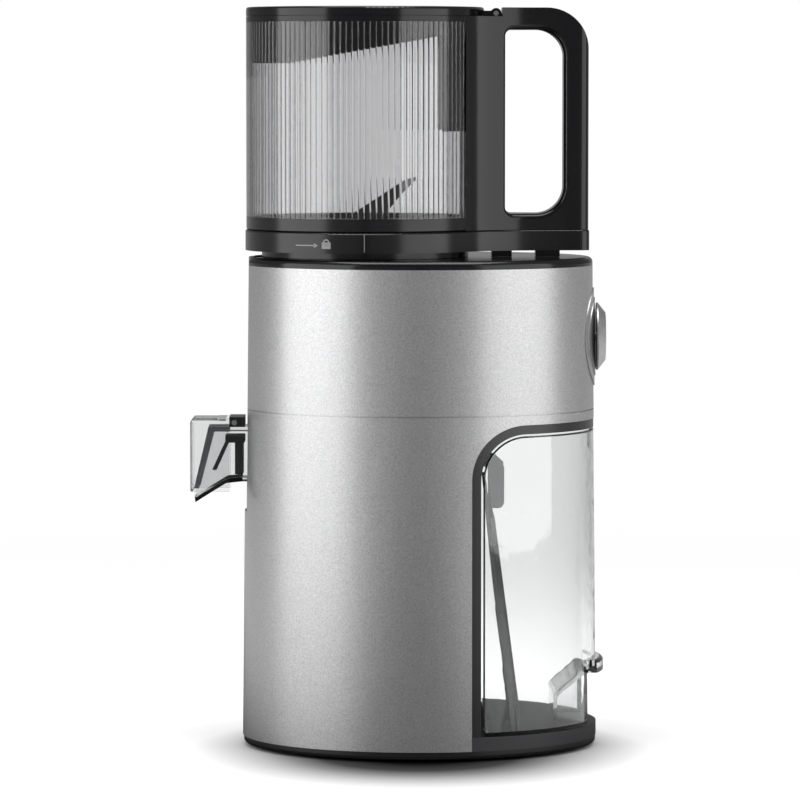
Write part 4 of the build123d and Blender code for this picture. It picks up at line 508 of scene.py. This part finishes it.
# ---- Bin rails and painted edge shade --------------------------------------------------
# A smoked copolyester rail, bonded on, stiffens each side of the bin's slanted wall. A thin
# dark sheet on the tub's cut edge, front and top, is painted shade for the edge-on walls.
SLANT_THICK = 0.0028       # of the slanted wall, level through it
RAIL_FOOT_WIDTH, RAIL_TOP_WIDTH = 0.0036, 0.0026
RAIL_THICK = 0.002
RAIL_FOOT_Y, RAIL_TOP_Y = -0.0742, -0.0792       # the bin is narrower at the rail's foot
RAIL_TOP = 0.164
RAIL_INSET = 0.0006        # of the rail's top from the tub's front
RAIL_EDGE = 0.0004         # width of its bevels
SLIT = 0.0001              # air between glued faces

tub_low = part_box("pulp_bin")[0]
slant_low, slant_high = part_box("bin_front")
foot_x = slant_high.x - SLANT_THICK - SLIT - RAIL_FOOT_WIDTH / 2
top_x = tub_low.x + RAIL_TOP_WIDTH / 2 + RAIL_INSET
rail_middle = (slant_low.z + RAIL_TOP) / 2
drop_selection()
bpy.ops.mesh.primitive_cube_add(size=1, location=(foot_x, RAIL_FOOT_Y, rail_middle))
rail = bpy.context.object
rail.name = "bin_rails"
rail.scale = (RAIL_FOOT_WIDTH, RAIL_THICK, RAIL_TOP - slant_low.z)
bpy.ops.object.transform_apply(location=True, scale=True)
select(rail, "VERT", lambda spot: spot.z > rail_middle)
narrow = RAIL_TOP_WIDTH / RAIL_FOOT_WIDTH
bpy.ops.transform.resize(value=(narrow, 1, 1))
bpy.ops.transform.translate(value=(top_x - foot_x, RAIL_TOP_Y - RAIL_FOOT_Y, 0))
bpy.ops.object.mode_set(mode="OBJECT")
edges = rail.modifiers.new("edges", "BEVEL")
edges.width = RAIL_EDGE
edges.segments = 2
bpy.ops.object.modifier_apply(modifier="edges")
both_sides = rail.modifiers.new("both_sides", "MIRROR")
both_sides.use_axis = (False, True, False)
bpy.ops.object.modifier_apply(modifier="both_sides")
bpy.ops.object.mode_set(mode="EDIT")
bpy.ops.mesh.select_all(action="SELECT")
bpy.ops.mesh.normals_make_consistent(inside=False)
bpy.ops.object.mode_set(mode="OBJECT")
bpy.ops.object.shade_smooth_by_angle(angle=SOFT_ANGLE)
rail_smoke = clear_plastic("grey_smoked_copolyester", "#4A4A4E", 0.03, 400.0, 0.3)
rail.data.materials.append(rail_smoke)
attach(rail, "pulp_bin")

EDGE_SHADE_THICK = 0.0009
TRIANGLE_GAP = 0.00001     # corners of the tub's loose triangles, nearer than this, are one
SIDEWAYS = 0.02            # the cut edge's faces turn to the side by less than this
UPWARDS, FORWARDS = 0.3, 0.9                     # and up or to the front by more than these
SCOOP_ZONE = 0.034         # the scoop and its lip lie within this of the bin's middle
SCOOP_TOP = 0.185          # and lower than this
FRONT_DEPTH = 0.0005       # of the tub's front edge


def on_cut_edge(face):
    """True for a face of the tub's cut edge, front or top, clear of the scoop."""
    out, spot = face.normal, face.center
    cut = abs(out.y) < SIDEWAYS and (out.z > UPWARDS or out.x < -FORWARDS)
    clear_of_scoop = spot.z > SCOOP_TOP or abs(spot.y) > SCOOP_ZONE
    on_outline = spot.x < tub_low.x + FRONT_DEPTH or spot.z > slant_high.z
    return cut and clear_of_scoop and on_outline


# Painted shade: a dark smoked sheet grown out of the bin's cut edges draws the dark outline
# that its clear walls give when seen edge-on.
edge_shade_sheet = bpy.data.objects.new("bin_edge_painted_shade", nodes["pulp_bin"].data.copy())
bpy.context.scene.collection.objects.link(edge_shade_sheet)
drop_selection()
edge_shade_sheet.select_set(True)
bpy.context.view_layer.objects.active = edge_shade_sheet
bpy.ops.object.mode_set(mode="EDIT")
bpy.ops.mesh.select_all(action="SELECT")
bpy.ops.mesh.remove_doubles(threshold=TRIANGLE_GAP)
bpy.ops.mesh.select_mode(type="FACE")
bpy.ops.mesh.select_all(action="DESELECT")
bpy.ops.object.mode_set(mode="OBJECT")
for face in edge_shade_sheet.data.polygons:
    face.select = not on_cut_edge(face)
bpy.ops.object.mode_set(mode="EDIT")
bpy.ops.mesh.delete(type="FACE")
bpy.ops.object.mode_set(mode="OBJECT")
skin = edge_shade_sheet.modifiers.new("skin", "SOLIDIFY")
skin.thickness = EDGE_SHADE_THICK
skin.offset = 1.0
bpy.ops.object.modifier_apply(modifier="skin")
bpy.ops.object.shade_smooth_by_angle(angle=SOFT_ANGLE)
edge_shade_sheet.data.materials.clear()
edge_shade_sheet.data.materials.append(rail_smoke)
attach(edge_shade_sheet, "pulp_bin")


# ---- Soft pieces -----------------------------------------------------------------------
# Feet, cord gland and motor cushion are moulded rubber, dull and nearly black. Seals,
# chute and the spout's insert are silicone, greyer and a little brighter.
rubber = moulded("moulded_black_rubber", "#161616", 0.6, 0.0008, 0.0001, IOR=1.5)
silicone = moulded("moulded_dark_silicone", "#222224", 0.45, 0.001, 0.00005, IOR=1.42)
grey_silicone = moulded("moulded_grey_silicone", "#77787C", 0.42, 0.001, 0.00005, IOR=1.42)
band_silicone = moulded("polished_grey_silicone", "#6A6B6E", 0.3, 0.001, 0.00003, IOR=1.42)
dress(rubber, "rubber_feet", "cord_gland", "motor_cushion")
dress(silicone, "shaft_seal", "drum_seal", "spout_insert")
dress(grey_silicone, "pulp_chute", "lid_seal")
dress(band_silicone, "mouth_gasket")


# ---- Auger and strainer ----------------------------------------------------------------
# The screw, its cutting wing and the slotted strainer are moulded in glass-filled
# polyetherimide, which the fibres leave nearly black and satin.
pei = moulded("satin_black_polyetherimide", "#1B1B1D", 0.34, 0.0009, 0.00004, IOR=1.6)
dress(pei, "auger", "cutting_wing", "strainer")


# ---- Motor and gears -------------------------------------------------------------------
# Turned steel shafts and gears run in sintered bronze bearings in cast aluminium cases.
# The motor has lacquered copper windings and ferrite magnets, and a masked board drives it.
HOLLOW_SHADE = 0.75        # share of the colour in the hollows that tools leave
MARK_LOW, MARK_HIGH = 0.7, 1.3                   # shares of the roughness over those marks


def metal(name, shade, rough, grain):
    """Bare metal with a roughness and tool marks of this width."""
    material, tree, surface, place = start(name, Metallic=1.0)
    marks = add(tree, "TexNoise", {"Vector": place, "Scale": 1 / grain, "Detail": 5})
    bright = linear(shade)
    hollow = [c * HOLLOW_SHADE for c in bright[:3]] + [1]
    colour = add(tree, "MixRGB", {"Fac": marks.outputs[0], "Color1": hollow,
                                  "Color2": bright})
    gloss = add(tree, "MapRange", {"Value": marks.outputs[0], "To Min": rough * MARK_LOW,
                                   "To Max": rough * MARK_HIGH})
    drive(tree, surface, Base_Color=colour.outputs[0], Roughness=gloss.outputs[0])
    return material


steel = metal("turned_steel", "#C4C4C6", 0.28, 0.002)
alloy = metal("cast_aluminium", "#B6B7BA", 0.45, 0.003)
bronze = metal("sintered_bronze", "#A97C4E", 0.4, 0.001)
brass = metal("stamped_brass", "#C9A45C", 0.3, 0.002)
copper = metal("lacquered_copper_wire", "#B9693A", 0.3, 0.001)
ferrite = moulded("ferrite", "#2B2B2D", 0.6, 0.001, 0.0001, IOR=1.6)
board = moulded("solder_masked_board", "#14492A", 0.3, 0.003, 0.00005, IOR=1.5)
dress(steel, "housing_screws", "idler_axle", "motor_can", "rotor_shaft", "motor_pinion",
      "idler_gear", "output_gear", "drive_shaft", "cap_pin", "auger_socket", "lid_pin")
dress(alloy, "gearbox_case", "gearbox_cover", "motor_end_cap")
dress(bronze, "shaft_bearings")
dress(brass, "brush_holders")
dress(copper, "rotor_windings", "commutator")
dress(ferrite, "motor_magnets", "rotor_core")
dress(board, "control_board")
